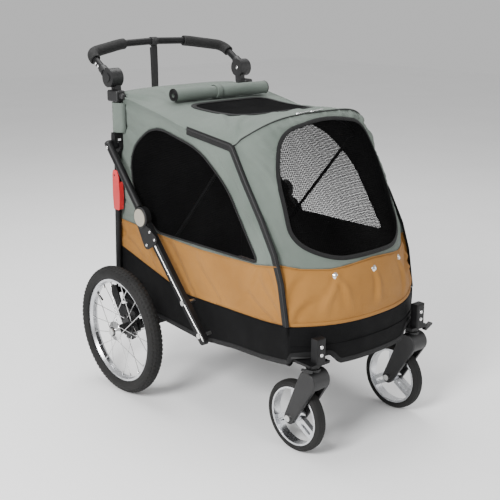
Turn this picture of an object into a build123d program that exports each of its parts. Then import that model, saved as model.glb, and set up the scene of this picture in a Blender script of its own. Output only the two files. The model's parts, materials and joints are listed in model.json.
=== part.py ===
"""Folding pet stroller: two spoked rear wheels, two front casters and a fabric cabin.

Frame: millimetres, +Z up, the stroller faces -Y, the floor is z = 0.
"left" is the -X side and "right" the +X side, as seen by someone who faces the stroller.
"""

import os
from math import atan2, cos, degrees, hypot, radians, sin

from build123d import *

os.makedirs("parts", exist_ok=True)

SIDES = {"left": -1, "right": 1}

# Rear wheels
REAR_R = 199.0
REAR_X = 338.3
AXLE_Y = 229.5
REAR_SECTION_R = 22.8
CARCASS = 3.5
RIM_R = 161.0
RIM_HALF = 13.4
SPOKES = 20
SPOKE_R = 1.1
HUB_OUT = 30.0
HUB_IN = 35.0
AXLE_R = 6.0
RUNNING = 0.05
BRAKE_SLOTS = 12

# Front casters
CASTER_X = 201.6
CASTER_Y = -463.0
TRAIL = 60.0
FRONT_R = 100.0
FRONT_HALF = 16.3
FRONT_RIM_R = 83.0
LEG_IN = 19.0
LEG_OUT = 31.0
STEM_R = 8.0

# Cabin
HALF = 250.0
CLOTH = 3.0
REAR_Y = 345.0
BASE_Z = 240.0
FLAP_Z = 366.0
GAP = 0.6
BOW_X = 240.5
BOW_R = 5.0

# Folding frame, places as (y, z)
HUB = (166.5, 557.0)
BRACE_FOOT = (-110.0, 251.0)
BAR_TOP = (337.0, 755.0)
CATCH = (329.0, 746.0)
STRUT_FOOT = (347.5, 285.0)
BRACE_X = 285.5
BRACE_HALF = 7.5
BAR_R = 12.0
STRUT_X = 260.8
STRUT_R = 9.5
LATCH_PIN = (331.9, 655.0)
UPRIGHT_X = 253.6
UPRIGHT_Y = 328.0
TUBE_R = 12.5
WALL = 2.0

BRACE_BOLTS = ((-100.0, 262.0), (-27.0, 341.0))

# Handle
PIVOT = (346.7, 948.0)
HANDLE_LEAN = 32.1
ARM_X = 263.8
HANDLE_R = 11.0
GRIP_R = 17.0

# Chassis rails
RAIL_X = 225.0
RAIL_Z = 258.5
RAIL_R = 11.0
RAIL_FRONT = -400.0
RAIL_REAR = 330.0


def save(made, name):
    """Label one finished piece and write it as a STEP file."""
    made.label = name
    export_step(made, f"parts/{name}.step")


def tube(start, end, outer, inner=0.0):
    """A straight round tube or rod between two points."""
    axis = Vector(*end) - Vector(*start)
    with BuildPart() as made:
        with BuildSketch(Plane(origin=start, z_dir=axis)):
            Circle(outer)
            if inner:
                Circle(inner, mode=Mode.SUBTRACT)
        extrude(amount=axis.length)
    return made.part


def slab(outline, x_low, x_high, rounding=0.0):
    """A plate whose (y, z) outline is extruded from x_low to x_high."""
    with BuildPart() as made:
        with BuildSketch(Plane.YZ.offset(x_low)):
            with BuildLine():
                Polyline(*outline, close=True)
            make_face()
            if rounding:
                fillet(vertices(), rounding)
        extrude(amount=x_high - x_low)
    return made.part


def capsule(first, second, radius, x_low, x_high):
    """A plate with round ends between two (y, z) points."""
    span = hypot(second[0] - first[0], second[1] - first[1])
    turn = degrees(atan2(second[1] - first[1], second[0] - first[0]))
    middle = ((first[0] + second[0]) / 2, (first[1] + second[1]) / 2)
    with BuildPart() as made:
        with BuildSketch(Plane.YZ.offset(x_low)):
            with Locations(middle):
                SlotCenterToCenter(span, 2 * radius, rotation=turn)
        extrude(amount=x_high - x_low)
    return made.part


def rod_x(place, radius, x_low, x_high):
    """A round rod along X through the (y, z) place."""
    return tube((x_low, *place), (x_high, *place), radius)


def span_x(side, near, far):
    """Lowest and highest x of a piece that lies between two distances from the middle plane."""
    return sorted((side * near, side * far))


def join(*pieces):
    """One welded or moulded piece from several overlapping solids."""
    with BuildPart() as made:
        for piece in pieces:
            add(piece)
    return made.part


def cut(base, *tools):
    """The base with the tools cut away."""
    with BuildPart() as made:
        add(base)
        for tool in tools:
            add(tool, mode=Mode.SUBTRACT)
    return made.part


def common(base, tool):
    """The space that two solids share."""
    with BuildPart() as made:
        add(base)
        add(tool, mode=Mode.INTERSECT)
    return made.part


def block(x_range, y_range, z_range):
    """A box given by its three ranges."""
    size = [high - low for low, high in (x_range, y_range, z_range)]
    centre = [(high + low) / 2 for low, high in (x_range, y_range, z_range)]
    with BuildPart(Plane(origin=centre)) as made:
        Box(*size)
    return made.part


# ---------------------------------------------------------------- cabin shape

# Height, front edge of the side walls, foremost point at the middle, fullness of the nose
NOSE_LEVELS = [
    (200, -424, -499.5, 2.5),
    (362, -412, -497.5, 2.5),
    (520, -354.5, -475.5, 2.5),
    (700, -268.6, -380, 3.6),
    (811, -196.5, -318, 4),
    (930, -120, -247, 4),
]
# Distance back, height of the roof's side edges and of its middle line
ROOF_STATIONS = [
    (380, 908, 913),
    (230, 884, 894),
    (118, 862, 879),
    (-6, 834, 872),
    (-196.5, 811, 880),
    (-330, 796, 892),
    (-520, 780, 905),
]
BULGE = (0.0, 0.42, 0.72, 0.9)


def crown_points(side_value, middle_value, fullness, half):
    """Points of a bowed line from one side wall to the other, higher power being fuller."""
    rise = [middle_value + (side_value - middle_value) * b**fullness for b in BULGE]
    right = [(half * b, value) for b, value in zip(BULGE, rise)] + [(half, side_value)]
    return [(-x, value) for x, value in reversed(right[1:])] + right


def cabin(inset, bottom=200.0):
    """The closed outer shape of the cabin, pulled in by the inset."""
    half = HALF - inset
    with BuildPart() as walls:
        for level, side_y, nose_y, fullness in NOSE_LEVELS:
            bow = crown_points(side_y + inset, nose_y + inset, fullness, half)
            with BuildSketch(Plane.XY.offset(level)):
                with BuildLine():
                    Spline(*bow)
                    Polyline(bow[-1], (half, REAR_Y - inset), (-half, REAR_Y - inset), bow[0])
                make_face()
        loft()
    with BuildPart() as under_roof:
        for back, side_z, middle_z in ROOF_STATIONS:
            bow = crown_points(side_z - inset, middle_z - inset, 4, half + 5)
            with BuildSketch(Plane.XZ.offset(-back)):
                with BuildLine():
                    Spline(*bow)
                    Polyline(bow[-1], (half + 5, bottom), (-half - 5, bottom), bow[0])
                make_face()
        loft()
    return common(walls.part, under_roof.part)


# Side-view lines as (y, z)
SEAM = [(400, 434), (350, 428), (51, 354), (4, 348), (-316, 358), (-398, FLAP_Z - GAP), (-560, FLAP_Z - GAP)]
ROOF_EDGE = [(400, 908), (230, 884), (118, 862), (-6, 834), (-196.5, 811)]
ARCH_TOP = (-290, 909)
ZIP_LINE = [(-196.5, 811), (-248.5, 729), (-314.5, 634), (-364.5, 551), (-391.5, 477), (-412, FLAP_Z)]
SIDE_WINDOW = [(144, 813), (266, 724), (242, 590), (134, 511), (-295, 517), (-168, 689), (-61, 769)]
FRONT_WINDOW = [(-128, 538), (128, 538), (202, 590), (190, 740), (152, 838), (0, 872),
                (-152, 838), (-190, 740), (-202, 590)]
ROOF_WINDOW = [(-150, 118), (150, 118), (140, -70), (104, -150), (-104, -150), (-140, -70)]


def moved(line, back, up):
    """The same line shifted by the given amounts."""
    return [(y + back, z + up) for y, z in line]


def cloth_shell():
    """The whole fabric skin of the cabin, open at the bottom."""
    return cut(cabin(0.0), cabin(CLOTH, bottom=150.0))


def front_region(gap):
    """Everything in front of the zip line and above the flap's hinge line."""
    edge = moved([ARCH_TOP] + ZIP_LINE, -gap, 0)
    return slab(edge + [(-560, FLAP_Z), (-560, 920)], -260, 260)


def window_prism(grow):
    """The front window's outline, carried back through the flap."""
    with BuildPart() as made:
        with BuildSketch(Plane.XZ.offset(150)):
            with BuildLine():
                Polyline(*FRONT_WINDOW, close=True)
            make_face()
            fillet(vertices(), 45)
            if grow:
                offset(amount=grow)
        extrude(amount=400)
    return made.part


def bracket_notches():
    """Room in the skirt for the caster brackets."""
    return [block((s * CASTER_X - 44, s * CASTER_X + 44), (-520, -425), (190, 282)) for s in SIDES.values()]


def make_skirt(shell):
    """The black lower band that runs right round the cabin."""
    below = slab(SEAM + [(-560, BASE_Z), (400, BASE_Z)], -260, 260)
    holes = [rod_x(place, 6.5, -260, 260) for place in BRACE_BOLTS]
    save(cut(common(shell, below), *bracket_notches(), *holes), "skirt")


def make_side_walls():
    """Flat side walls with a window opening, and the mesh that fills it."""
    outline = [(345, 427.5), (345, 738), (311, 738), (311, 872), (303, 872), (303, 895), (230, 881), (118, 859), (-6, 831)]
    outline += [(-195, 808.5)] + moved(ZIP_LINE[1:-1], GAP + 1, 0) + [(-409, 368), (-397, 367)]
    outline += [(-316, 359.5), (4, 349.5), (51, 355.5)]
    meshes = []
    for name, s in SIDES.items():
        low, high = span_x(s, HALF - CLOTH, HALF)
        with BuildPart() as wall:
            with BuildSketch(Plane.YZ.offset(low)):
                with BuildLine():
                    Polyline(*outline, close=True)
                make_face()
                with BuildSketch(mode=Mode.SUBTRACT):
                    with BuildLine():
                        Polyline(*SIDE_WINDOW, close=True)
                    make_face()
                    fillet(vertices(), 28)
            extrude(amount=high - low)
        save(wall.part, f"side_wall_{name}")
        with BuildPart() as mesh:
            with BuildSketch(Plane.YZ.offset(low + 0.5)):
                with BuildLine():
                    Polyline(*SIDE_WINDOW, close=True)
                make_face()
                fillet(vertices(), 28)
                offset(amount=-0.2)
            extrude(amount=2)
        meshes.append(mesh.part)
    save(Compound(children=meshes), "side_windows")


def make_rear_wall():
    """Flat rear wall, narrower above the struts' hooks, where the uprights stand."""
    half = HALF - CLOTH - 0.3
    with BuildPart() as wall:
        with BuildSketch(Plane.XZ.offset(-REAR_Y)):
            with BuildLine():
                Polyline((-half, 429), (half, 429), (half, 738), (235, 738), (235, 899), (-235, 899),
                         (-235, 738), (-half, 738), close=True)
            make_face()
        extrude(amount=CLOTH)
    save(wall.part, "rear_wall")


def make_roof(shell):
    """Curved roof with its opening, the opening's mesh, and the flap rolled up behind it."""
    above = slab(moved(ROOF_EDGE, 0, 0.5) + [ARCH_TOP, (-290, 960), (400, 960)], -260, 260)
    corners = [block(span_x(s, 235.5, 260), (302, 360), (860, 930)) for s in SIDES.values()]
    skin = cut(common(shell, above), *corners)
    with BuildPart() as opening:
        with BuildSketch(Plane.XY.offset(820)):
            with BuildLine():
                Polyline(*ROOF_WINDOW, close=True)
            make_face()
            fillet(vertices(), 30)
        extrude(amount=120)
    save(cut(skin, opening.part), "roof")
    save(common(skin, opening.part), "roof_window")
    roll = tube((-175, 150, 905.8), (175, 150, 905.8), 22)
    save(roll, "roof_flap_roll")


def make_front_flap(shell):
    """The nose of the cabin: it opens forward about its lower edge."""
    nose = common(shell, front_region(GAP))
    save(cut(nose, window_prism(0)), "front_flap")
    save(common(nose, window_prism(0)), "front_window")
    snaps = []
    for x, y, turn in ((-125, -457, 25), (0, -478.4, 0), (125, -457, -25)):
        tilt = Plane(origin=(x, y, 492), z_dir=(-sin(radians(turn)), -cos(radians(turn)), 0))
        with BuildPart() as snap:
            with BuildSketch(tilt):
                Circle(6.5)
            extrude(amount=9)
            add(nose, mode=Mode.SUBTRACT)
        snaps.append(snap.part.solids().sort_by(Axis.Y)[0])
    save(Compound(children=snaps), "flap_snaps")


def make_floor():
    """Stiff floor board on the rails, with a cushion mat on it."""
    board = common(cabin(4.0), block((-260, 260), (-470, 341), (281, 287)))
    tabs = [block(span_x(s, 232.5, 260), (-51, 1), (270, 300)) for s in SIDES.values()]
    save(cut(board, *tabs), "floor_board")
    mat = common(cabin(16.0), block((-260, 260), (-450, 328), (287.3, 309)))
    save(mat, "floor_mat")


def make_canopy_bow():
    """Sprung inner bow: a leg along each side wall, joined by an arch under the roof's front edge."""
    foot_y, foot_z, knee_y, knee_z = 232, 318, -178, 792
    with BuildLine() as arch:
        ThreePointArc((-BOW_X, knee_y, knee_z), (0, -240, 866), (BOW_X, knee_y, knee_z))
    legs = [tube((s * BOW_X, foot_y, foot_z), (s * BOW_X, knee_y, knee_z), BOW_R) for s in SIDES.values()]
    knees = []
    for s in SIDES.values():
        with BuildPart(Plane(origin=(s * BOW_X, knee_y, knee_z))) as knee:
            Sphere(BOW_R)
        knees.append(knee.part)
    save(join(swept(arch.wire(), BOW_R), *legs, *knees), "canopy_bow")


# ---------------------------------------------------------------- chassis


def make_rails():
    """Two chassis rails, each with a tab for the brace, and the cross tube that joins their fronts."""
    rails = []
    for s in SIDES.values():
        x = s * RAIL_X
        rail = tube((x, RAIL_FRONT, RAIL_Z), (x, RAIL_REAR, RAIL_Z), RAIL_R, RAIL_R - WALL)
        tab = slab([(-50, 250), (0, 250), (-10, 356), (-40, 356)], *span_x(s, 234.8, 241), 4)
        holes = [rod_x(place, 5, -260, 260) for place in BRACE_BOLTS]
        rails.append(cut(join(rail, tab), *holes))
    save(Compound(children=rails), "side_rails")
    reach = RAIL_X - RAIL_R
    cross = tube((-reach + 0.2, RAIL_FRONT + 14, RAIL_Z), (reach - 0.2, RAIL_FRONT + 14, RAIL_Z), 10, 8)
    save(cross, "front_cross_tube")


def make_axle():
    """Fixed axle rod with its end caps, and the tube that spaces the brackets."""
    cap = (REAR_X + HUB_OUT + 0.7, REAR_X + HUB_OUT + 6.7)
    caps = [rod_x((AXLE_Y, REAR_R), 11, *span_x(s, *cap)) for s in SIDES.values()]
    save(join(rod_x((AXLE_Y, REAR_R), AXLE_R, -cap[1], cap[1]), *caps), "rear_axle")
    ends = ((-276.8, AXLE_Y, REAR_R), (276.8, AXLE_Y, REAR_R))
    save(tube(*ends, 15, AXLE_R + RUNNING), "axle_tube")


BRAKE_ROD = (286.8, 206.3)


def make_axle_brackets():
    """Side plates that carry the axle, the brake rod and the struts' pivots, bolted under the rails."""
    outline = [(332, 300), (362, 300), (363, 274), (312, 196), (250, 178), (212, 180), (208, 214), (236, 240),
               (310, 246)]
    brackets = []
    for s in SIDES.values():
        plate = slab(outline, *span_x(s, 277, 282), 6)
        shelf = block(span_x(s, 212, 280), (212, 330), (231, 237))
        saddles = [block(span_x(s, 216, 234), (y, y + 34), (236, 247.4)) for y in (214, 294)]
        stud = rod_x(STRUT_FOOT, 5, *span_x(s, 251.2, 280))
        axle_hole = rod_x((AXLE_Y, REAR_R), AXLE_R + RUNNING, -300, 300)
        rod_hole = rod_x(BRAKE_ROD, 6 + RUNNING, -300, 300)
        brackets.append(cut(join(plate, shelf, *saddles, stud), axle_hole, rod_hole))
    save(Compound(children=brackets), "axle_brackets")


def make_caster_brackets():
    """Brackets outside the nose that hold the casters' stems, with a swivel lock lever each."""
    for name, s in SIDES.items():
        x = s * CASTER_X
        plate = block((x - 34, x + 34), (-490, -392), (270, 277))
        with BuildPart(Plane(origin=(x, -479, 310))) as neck:
            Box(32, 26, 70)
            fillet(neck.edges().filter_by(Axis.Z) + neck.edges().filter_by(Axis.X).group_by(Axis.Z)[-1], 4)
        socket = tube((x, CASTER_Y, 258), (x, CASTER_Y, 272), 17)
        bore = tube((x, CASTER_Y, 250), (x, CASTER_Y, 277), STEM_R + RUNNING)
        save(cut(join(plate, neck.part, socket), bore), f"caster_bracket_{name}")
        with BuildPart() as lever:
            with BuildSketch(Plane.XZ.offset(14 - CASTER_Y)):
                with Locations((s * (CASTER_X + 44), 266)):
                    SlotCenterToCenter(26, 8, rotation=s * 25)
            extrude(amount=12)
        save(lever.part, f"swivel_lock_{name}")


def make_braces():
    """Flat oval lower braces that end in the folding hub, and the caps that cover the hubs."""
    caps = []
    for name, s in SIDES.items():
        flat = capsule(BRACE_FOOT, HUB, 14, *span_x(s, BRACE_X - BRACE_HALF, BRACE_X + BRACE_HALF))
        eye = rod_x(HUB, 31, *span_x(s, 278, 284.6))
        room = rod_x(HUB, 31.6, *span_x(s, 284.6, 310))
        lobes = [rod_x(place, 12, *span_x(s, 293, 296)) for place in ((124, 521), (101, 502), (140, 478))]
        plate = slab([(190, 540), (143, 540), (92, 512), (92, 490), (133, 466), (151, 470)],
                     *span_x(s, 293, 296), 8)
        ring = rod_x(HUB, 31, *span_x(s, 293, 296.4))
        pin = rod_x(HUB, 6, *span_x(s, 279, 296))
        lower = cut(join(flat, eye), room)
        cover = join(plate, ring, *lobes)
        stand = capsule((101, 502), (118, 515), 9, *span_x(s, 290, 294))
        bolt_holes = [rod_x(place, 5, -300, 300) for place in BRACE_BOLTS]
        save(cut(join(lower, cover, pin, stand), *bolt_holes), f"lower_brace_{name}")
        caps.append(rod_x(HUB, 26, *span_x(s, 296.6, 300.5)))
    save(Compound(children=caps), "hub_caps")
    bolts = []
    for s in SIDES.values():
        for place, inner in zip(BRACE_BOLTS, (229, 231)):
            shank = rod_x(place, 4.9, *span_x(s, inner, 296))
            head = rod_x(place, 8, *span_x(s, 293.2, 297))
            bolts.append(join(shank, head))
    save(Compound(children=bolts), "chassis_bolts")


# ---------------------------------------------------------------- folding push frame


def along(first, second, distance):
    """The (y, z) point at a distance from the first point towards the second."""
    span = hypot(second[0] - first[0], second[1] - first[1])
    return tuple(a + (b - a) * distance / span for a, b in zip(first, second))


def make_push_frame():
    """Diagonal bars, uprights, top cross tube and the corner sockets of the handle."""
    start = along(HUB, BAR_TOP, 33)
    uprights, sleeves, sockets = [], [], []
    for name, s in SIDES.items():
        x = s * BRACE_X
        bar = tube((x, *start), (x, *BAR_TOP), BAR_R, BAR_R - WALL)
        eye = rod_x(HUB, 31, *span_x(s, 285, 292.5))
        neck = capsule(HUB, along(HUB, BAR_TOP, 60), 9, *span_x(s, 285, 292.5))
        lug = capsule(CATCH, (UPRIGHT_Y, 775), 10, *span_x(s, 263.4, 275))
        foot = block(span_x(s, 243, 274), (UPRIGHT_Y - 10, UPRIGHT_Y + 10), (768, 786))
        catch = rod_x(CATCH, 8, *span_x(s, 250.9, 264))
        bore = rod_x(HUB, 6 + RUNNING, -300, 300)
        hollow = tube((x, *start), (x, *BAR_TOP), BAR_R - WALL)
        bar_solid = cut(join(bar, cut(join(eye, neck), hollow)), bore)
        save(cut(join(bar_solid, cut(join(lug, foot), hollow), catch), bore), f"upper_bar_{name}")
        upright = tube((s * UPRIGHT_X, UPRIGHT_Y, 786), (s * UPRIGHT_X, UPRIGHT_Y, 878), TUBE_R, TUBE_R - WALL)
        uprights.append(upright)
        sleeve = tube((s * UPRIGHT_X, UPRIGHT_Y, 788), (s * UPRIGHT_X, UPRIGHT_Y, 876), 15.4, TUBE_R + 0.3)
        sleeves.append(sleeve)
        body = block(span_x(s, 238, 271), (306, 359), (878, 912))
        with BuildPart() as socket:
            add(body)
            fillet(socket.edges(), 6)
            add(capsule((PIVOT[0] - 4, 908), PIVOT, 15, *span_x(s, 238, 253.6)))
            add(rod_x(PIVOT, 28, *span_x(s, 234, 253.6)))
            add(rod_x(PIVOT, 6, *span_x(s, 240, 267)))
        sockets.append(socket.part)
    save(Compound(children=uprights), "uprights")
    save(Compound(children=sleeves), "upright_sleeves")
    save(Compound(children=sockets), "handle_sockets")
    cross = tube((-237.8, UPRIGHT_Y, 888), (237.8, UPRIGHT_Y, 888), 10, 8)
    save(cross, "top_cross_tube")


def handle_plane():
    """The leaning plane of the handle: local x is across, local y runs from the pivots to the bar."""
    lean = radians(HANDLE_LEAN)
    return Plane(origin=(0, *PIVOT), x_dir=(1, 0, 0), z_dir=(0, -sin(lean), cos(lean)))


HANDLE_START = 29.0
HANDLE_MIDDLE = 169.0
HANDLE_CORNERS = [(-ARM_X, HANDLE_START), (-ARM_X, 124), (-125, 163), (0, HANDLE_MIDDLE),
                  (125, 163), (ARM_X, 124), (ARM_X, HANDLE_START)]
HANDLE_RADII = [38, 250, 400, 250, 38]


def handle_wire():
    """The centre line of the handle bar in its own plane."""
    with BuildLine(handle_plane()) as line:
        FilletPolyline(*HANDLE_CORNERS, radius=HANDLE_RADII)
    return line


def swept(line, radius, inner=0.0):
    """A round section carried along a line."""
    with BuildPart() as made:
        with BuildSketch(Plane(origin=line @ 0, z_dir=line % 0)):
            Circle(radius)
            if inner:
                Circle(inner, mode=Mode.SUBTRACT)
        sweep(path=line)
    return made.part


def make_handle():
    """Bent handle bar with its pivot hubs, two foam grips, a wrist strap and two tilt buttons."""
    wire = handle_wire().wire()
    save(swept(wire, HANDLE_R, HANDLE_R - WALL), "handle_bar")
    first, last = 0.085, 0.335
    grips = [swept(wire.trim(low, high), GRIP_R, HANDLE_R + 0.1)
             for low, high in ((first, last), (1 - last, 1 - first))]
    save(Compound(children=grips), "handle_grips")
    hubs = []
    lean = handle_plane()
    for s in SIDES.values():
        low, high = [tuple(lean.from_local_coords((s * ARM_X, r, 0))) for r in (HANDLE_START, 46)]
        disc = rod_x(PIVOT, 28, *span_x(s, 254, 273.6))
        arm = capsule(PIVOT, (low[1], low[2]), 12, *span_x(s, 254.2, 273.4))
        joined = cut(join(disc, arm, tube(low, high, 14)), tube(low, high, HANDLE_R + 0.05))
        recess = rod_x(PIVOT, 13.2, *span_x(s, 268, 280))
        bore = rod_x(PIVOT, 6 + RUNNING, -290, 290)
        hubs.append(cut(joined, recess, bore))
    save(Compound(children=hubs), "handle_hubs")
    for name, s in SIDES.items():
        save(rod_x(PIVOT, 13, *span_x(s, 271.6, 276.6)), f"tilt_button_{name}")
    bar = lean.from_local_coords((0, HANDLE_MIDDLE - 0.8, 0))
    grip = rod_x((bar.Y, bar.Z), 13.6, -13, 13)
    hole = rod_x((bar.Y, bar.Z), HANDLE_R + 0.6, -20, 20)
    tail = block((-12, 12), (bar.Y - 1.5, bar.Y + 1.5), (bar.Z - 190, bar.Z - 12))
    save(join(cut(grip, hole), tail), "wrist_strap")


# ---------------------------------------------------------------- struts and latches


def make_struts():
    """Rear struts with a catch hook at the top, and the red levers that release them."""
    top = along(STRUT_FOOT, (328.5, 735), 437)
    for name, s in SIDES.items():
        x = s * STRUT_X
        rod = tube((x, *STRUT_FOOT), (x, *top), STRUT_R, STRUT_R - WALL)
        low, high = span_x(s, 251, 261)
        angles = (135, 232, 330)
        ends = [(CATCH[0] + 14.6 * cos(radians(a)), CATCH[1] + 14.6 * sin(radians(a))) for a in angles]
        with BuildPart() as hook:
            with BuildSketch(Plane.YZ.offset(low)):
                with BuildLine() as bend:
                    ThreePointArc(*ends)
                make_hull(bend.edges())
                offset(amount=5)
                with Locations(CATCH):
                    Circle(9.4, mode=Mode.SUBTRACT)
                with Locations((CATCH[0] + 16, CATCH[1] + 26)):
                    Rectangle(34, 52, rotation=-19, mode=Mode.SUBTRACT)
            extrude(amount=high - low)
        stem = capsule(along(STRUT_FOOT, (328.5, 735), 425), (CATCH[0] - 3, CATCH[1] - 15), 6, low, high)
        eye = rod_x(STRUT_FOOT, 14, *span_x(s, 251, 273.2))
        pin_hole = rod_x(STRUT_FOOT, 5 + RUNNING, -300, 300)
        pocket = rod_x(CATCH, 9.4, -300, 300)
        piece = cut(join(rod, stem, eye), pin_hole, pocket)
        lever_pin = rod_x(LATCH_PIN, 3.2, *span_x(s, 266, 273.2))
        save(join(piece, hook.part, lever_pin), f"rear_strut_{name}")
        cheek = slab([(311, 548), (341, 548), (344, 590), (342, 660), (337, 672), (318, 672), (309, 650), (307, 590)],
                     *span_x(s, 270.6, 273.2), 5)
        grip = slab([(311, 550), (324, 550), (320.5, 636), (309, 636), (306, 590)], *span_x(s, 258, 272.4), 3)
        save(cut(join(cheek, grip), rod_x(LATCH_PIN, 3.2 + RUNNING, -300, 300)), f"latch_lever_{name}")


# ---------------------------------------------------------------- wheels


def ring_x(profile_points, x, place, rounding=0.0):
    """A turned ring about an X axis: profile points are (radius, offset from the ring's own plane)."""
    with BuildPart() as made:
        with BuildSketch(Plane(origin=(x, *place), x_dir=(0, 0, 1), z_dir=(0, -1, 0))):
            with BuildLine():
                Polyline(*profile_points, close=True)
            make_face()
            if rounding:
                fillet(vertices(), rounding)
        revolve(axis=Axis((x, *place), (1, 0, 0)))
    return made.part


def make_rear_wheels():
    """Pneumatic tyre, hollow rim, laced spokes and a hub with a notched brake ring."""
    place = (AXLE_Y, REAR_R)
    for name, s in SIDES.items():
        x = s * REAR_X
        section = REAR_R - REAR_SECTION_R
        with BuildPart() as tyre:
            with BuildSketch(Plane(origin=(x, *place), x_dir=(0, 0, 1), z_dir=(0, -1, 0))):
                with Locations((section, 0)):
                    Circle(REAR_SECTION_R)
                    Circle(REAR_SECTION_R - CARCASS, mode=Mode.SUBTRACT)
                with Locations((RIM_R - 14.9, 0)):
                    Rectangle(30, 60, mode=Mode.SUBTRACT)
            revolve(axis=Axis((x, *place), (1, 0, 0)))
        save(tyre.part, f"rear_tyre_{name}")
        rim = ring_x([(RIM_R, -RIM_HALF), (RIM_R, -11), (155, -9), (155, 9), (RIM_R, 11), (RIM_R, RIM_HALF),
                      (154, RIM_HALF), (149, 6), (149, -6), (154, -RIM_HALF)], x, place)
        save(rim, f"rear_rim_{name}")
        flange_in, flange_out = -s * 25.5, s * 20.5
        barrel = rod_x(place, 15, *sorted((x - s * HUB_IN, x + s * HUB_OUT)))
        flanges = [rod_x(place, 29, x + f - 1.5, x + f + 1.5) for f in (flange_in, flange_out)]
        brake_ring = rod_x(place, 40, *sorted((x - s * 34.5, x - s * 28.5)))
        lock_turn = atan2(176 - place[1], 269.3 - place[0])
        slots = []
        for k in range(BRAKE_SLOTS):
            angle = lock_turn + radians(360 / BRAKE_SLOTS) * k
            centre = (place[0] + 37 * cos(angle), place[1] + 37 * sin(angle))
            slots.append(rod_x(centre, 4.5, *sorted((x - s * 36, x - s * 28))))
        bore = rod_x(place, AXLE_R + RUNNING, x - 50, x + 50)
        save(cut(join(barrel, *flanges, brake_ring), *slots, bore), f"rear_hub_{name}")
        spokes = []
        for k in range(SPOKES):
            turn = radians(360 / SPOKES * k)
            lean = turn + radians(38 if k % 4 < 2 else -38)
            offset_x = flange_in if k % 2 else flange_out
            inner = (x + offset_x, place[0] + 30.3 * cos(lean), place[1] + 30.3 * sin(lean))
            outer = (x + 0.12 * offset_x, place[0] + 148.7 * cos(turn), place[1] + 148.7 * sin(turn))
            spokes.append(tube(inner, outer, SPOKE_R))
        save(Compound(children=spokes), f"rear_spokes_{name}")


def make_casters():
    """Forked casters: fork with its stem, tyre, three-spoke rim and axle bolt."""
    axle = (CASTER_Y + TRAIL, FRONT_R)
    for name, s in SIDES.items():
        x = s * CASTER_X
        with BuildPart() as fork:
            with BuildSketch(Plane.YZ.offset(x - LEG_OUT)):
                with Locations(axle):
                    Circle(18)
                with Locations((CASTER_Y - 4, 224)):
                    Circle(30)
                make_hull()
            extrude(amount=2 * LEG_OUT)
            fillet(fork.edges().group_by(SortBy.LENGTH)[-1], 4)
            add(block((x - LEG_IN, x + LEG_IN), (axle[0] - 130, axle[0] + 60), (40, 204)), mode=Mode.SUBTRACT)
            add(rod_x(axle, FRONT_R + 8, x - LEG_IN, x + LEG_IN), mode=Mode.SUBTRACT)
            add(tube((x, CASTER_Y, 245), (x, CASTER_Y, 257), 20))
            add(tube((x, CASTER_Y, 255), (x, CASTER_Y, 276.5), STEM_R))
            add(rod_x(axle, AXLE_R + RUNNING, x - 50, x + 50), mode=Mode.SUBTRACT)
        save(fork.part, f"caster_fork_{name}")
        tyre = ring_x([(FRONT_RIM_R, -14), (FRONT_RIM_R, 14), (90, FRONT_HALF), (97, 13), (FRONT_R, 6),
                       (FRONT_R, -6), (97, -13), (90, -FRONT_HALF)], x, axle)
        save(tyre, f"front_tyre_{name}")
        with BuildPart() as rim:
            add(ring_x([(77, -14), (82.9, -14), (82.9, 14), (77, 14)], x, axle, 1))
            with BuildSketch(Plane.YZ.offset(x - 7)):
                with Locations(axle):
                    Circle(19)
                    for k in range(3):
                        turn = 90 + 120 * k
                        spoke = Pos(48 * cos(radians(turn)), 48 * sin(radians(turn)))
                        with Locations(spoke):
                            Rectangle(62, 30, rotation=turn)
                            SlotOverall(40, 9, rotation=turn, mode=Mode.SUBTRACT)
            extrude(amount=14)
            add(rod_x(axle, 17, x - 18, x + 18))
            add(rod_x(axle, AXLE_R + RUNNING, x - 30, x + 30), mode=Mode.SUBTRACT)
        save(rim.part, f"front_rim_{name}")
        bolt = join(rod_x(axle, AXLE_R, x - LEG_OUT, x + LEG_OUT),
                    rod_x(axle, 9, x - LEG_OUT - 5, x - LEG_OUT), rod_x(axle, 9, x + LEG_OUT, x + LEG_OUT + 5))
        save(bolt, f"front_axle_{name}")


def make_brake():
    """Foot brake: a rod between the wheels with a crank and lock pin at each end and a pedal."""
    rod = rod_x(BRAKE_ROD, 6, -296, 296)
    pieces = [rod]
    pin = (269.3, 176.0)
    reach = along((AXLE_Y, REAR_R), pin, 46)
    for s in SIDES.values():
        pieces.append(capsule(BRAKE_ROD, reach, 7, *span_x(s, 289, 295)))
        pieces.append(rod_x(reach, 2.8, *span_x(s, 294, 308.5)))
    arm = capsule(BRAKE_ROD, (322, 196), 6, -8, 8)
    pieces += [arm, capsule((316, 197), (352, 188), 5, -42, 42)]
    save(join(*pieces), "brake_bar")


shell = cloth_shell()
make_skirt(shell)
make_side_walls()
make_rear_wall()
make_roof(shell)
make_front_flap(shell)
make_floor()
make_canopy_bow()
make_rails()
make_axle()
make_axle_brackets()
make_caster_brackets()
make_braces()
make_push_frame()
make_handle()
make_struts()
make_rear_wheels()
make_casters()
make_brake()
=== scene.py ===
"""Looks of the folding pet stroller, built round its CAD frame. Metres, row frame."""

import json
import math

import bmesh
import bpy
import numpy as np
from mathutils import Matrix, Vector, noise
from mathutils.bvhtree import BVHTree
from mathutils.geometry import delaunay_2d_cdt


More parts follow.
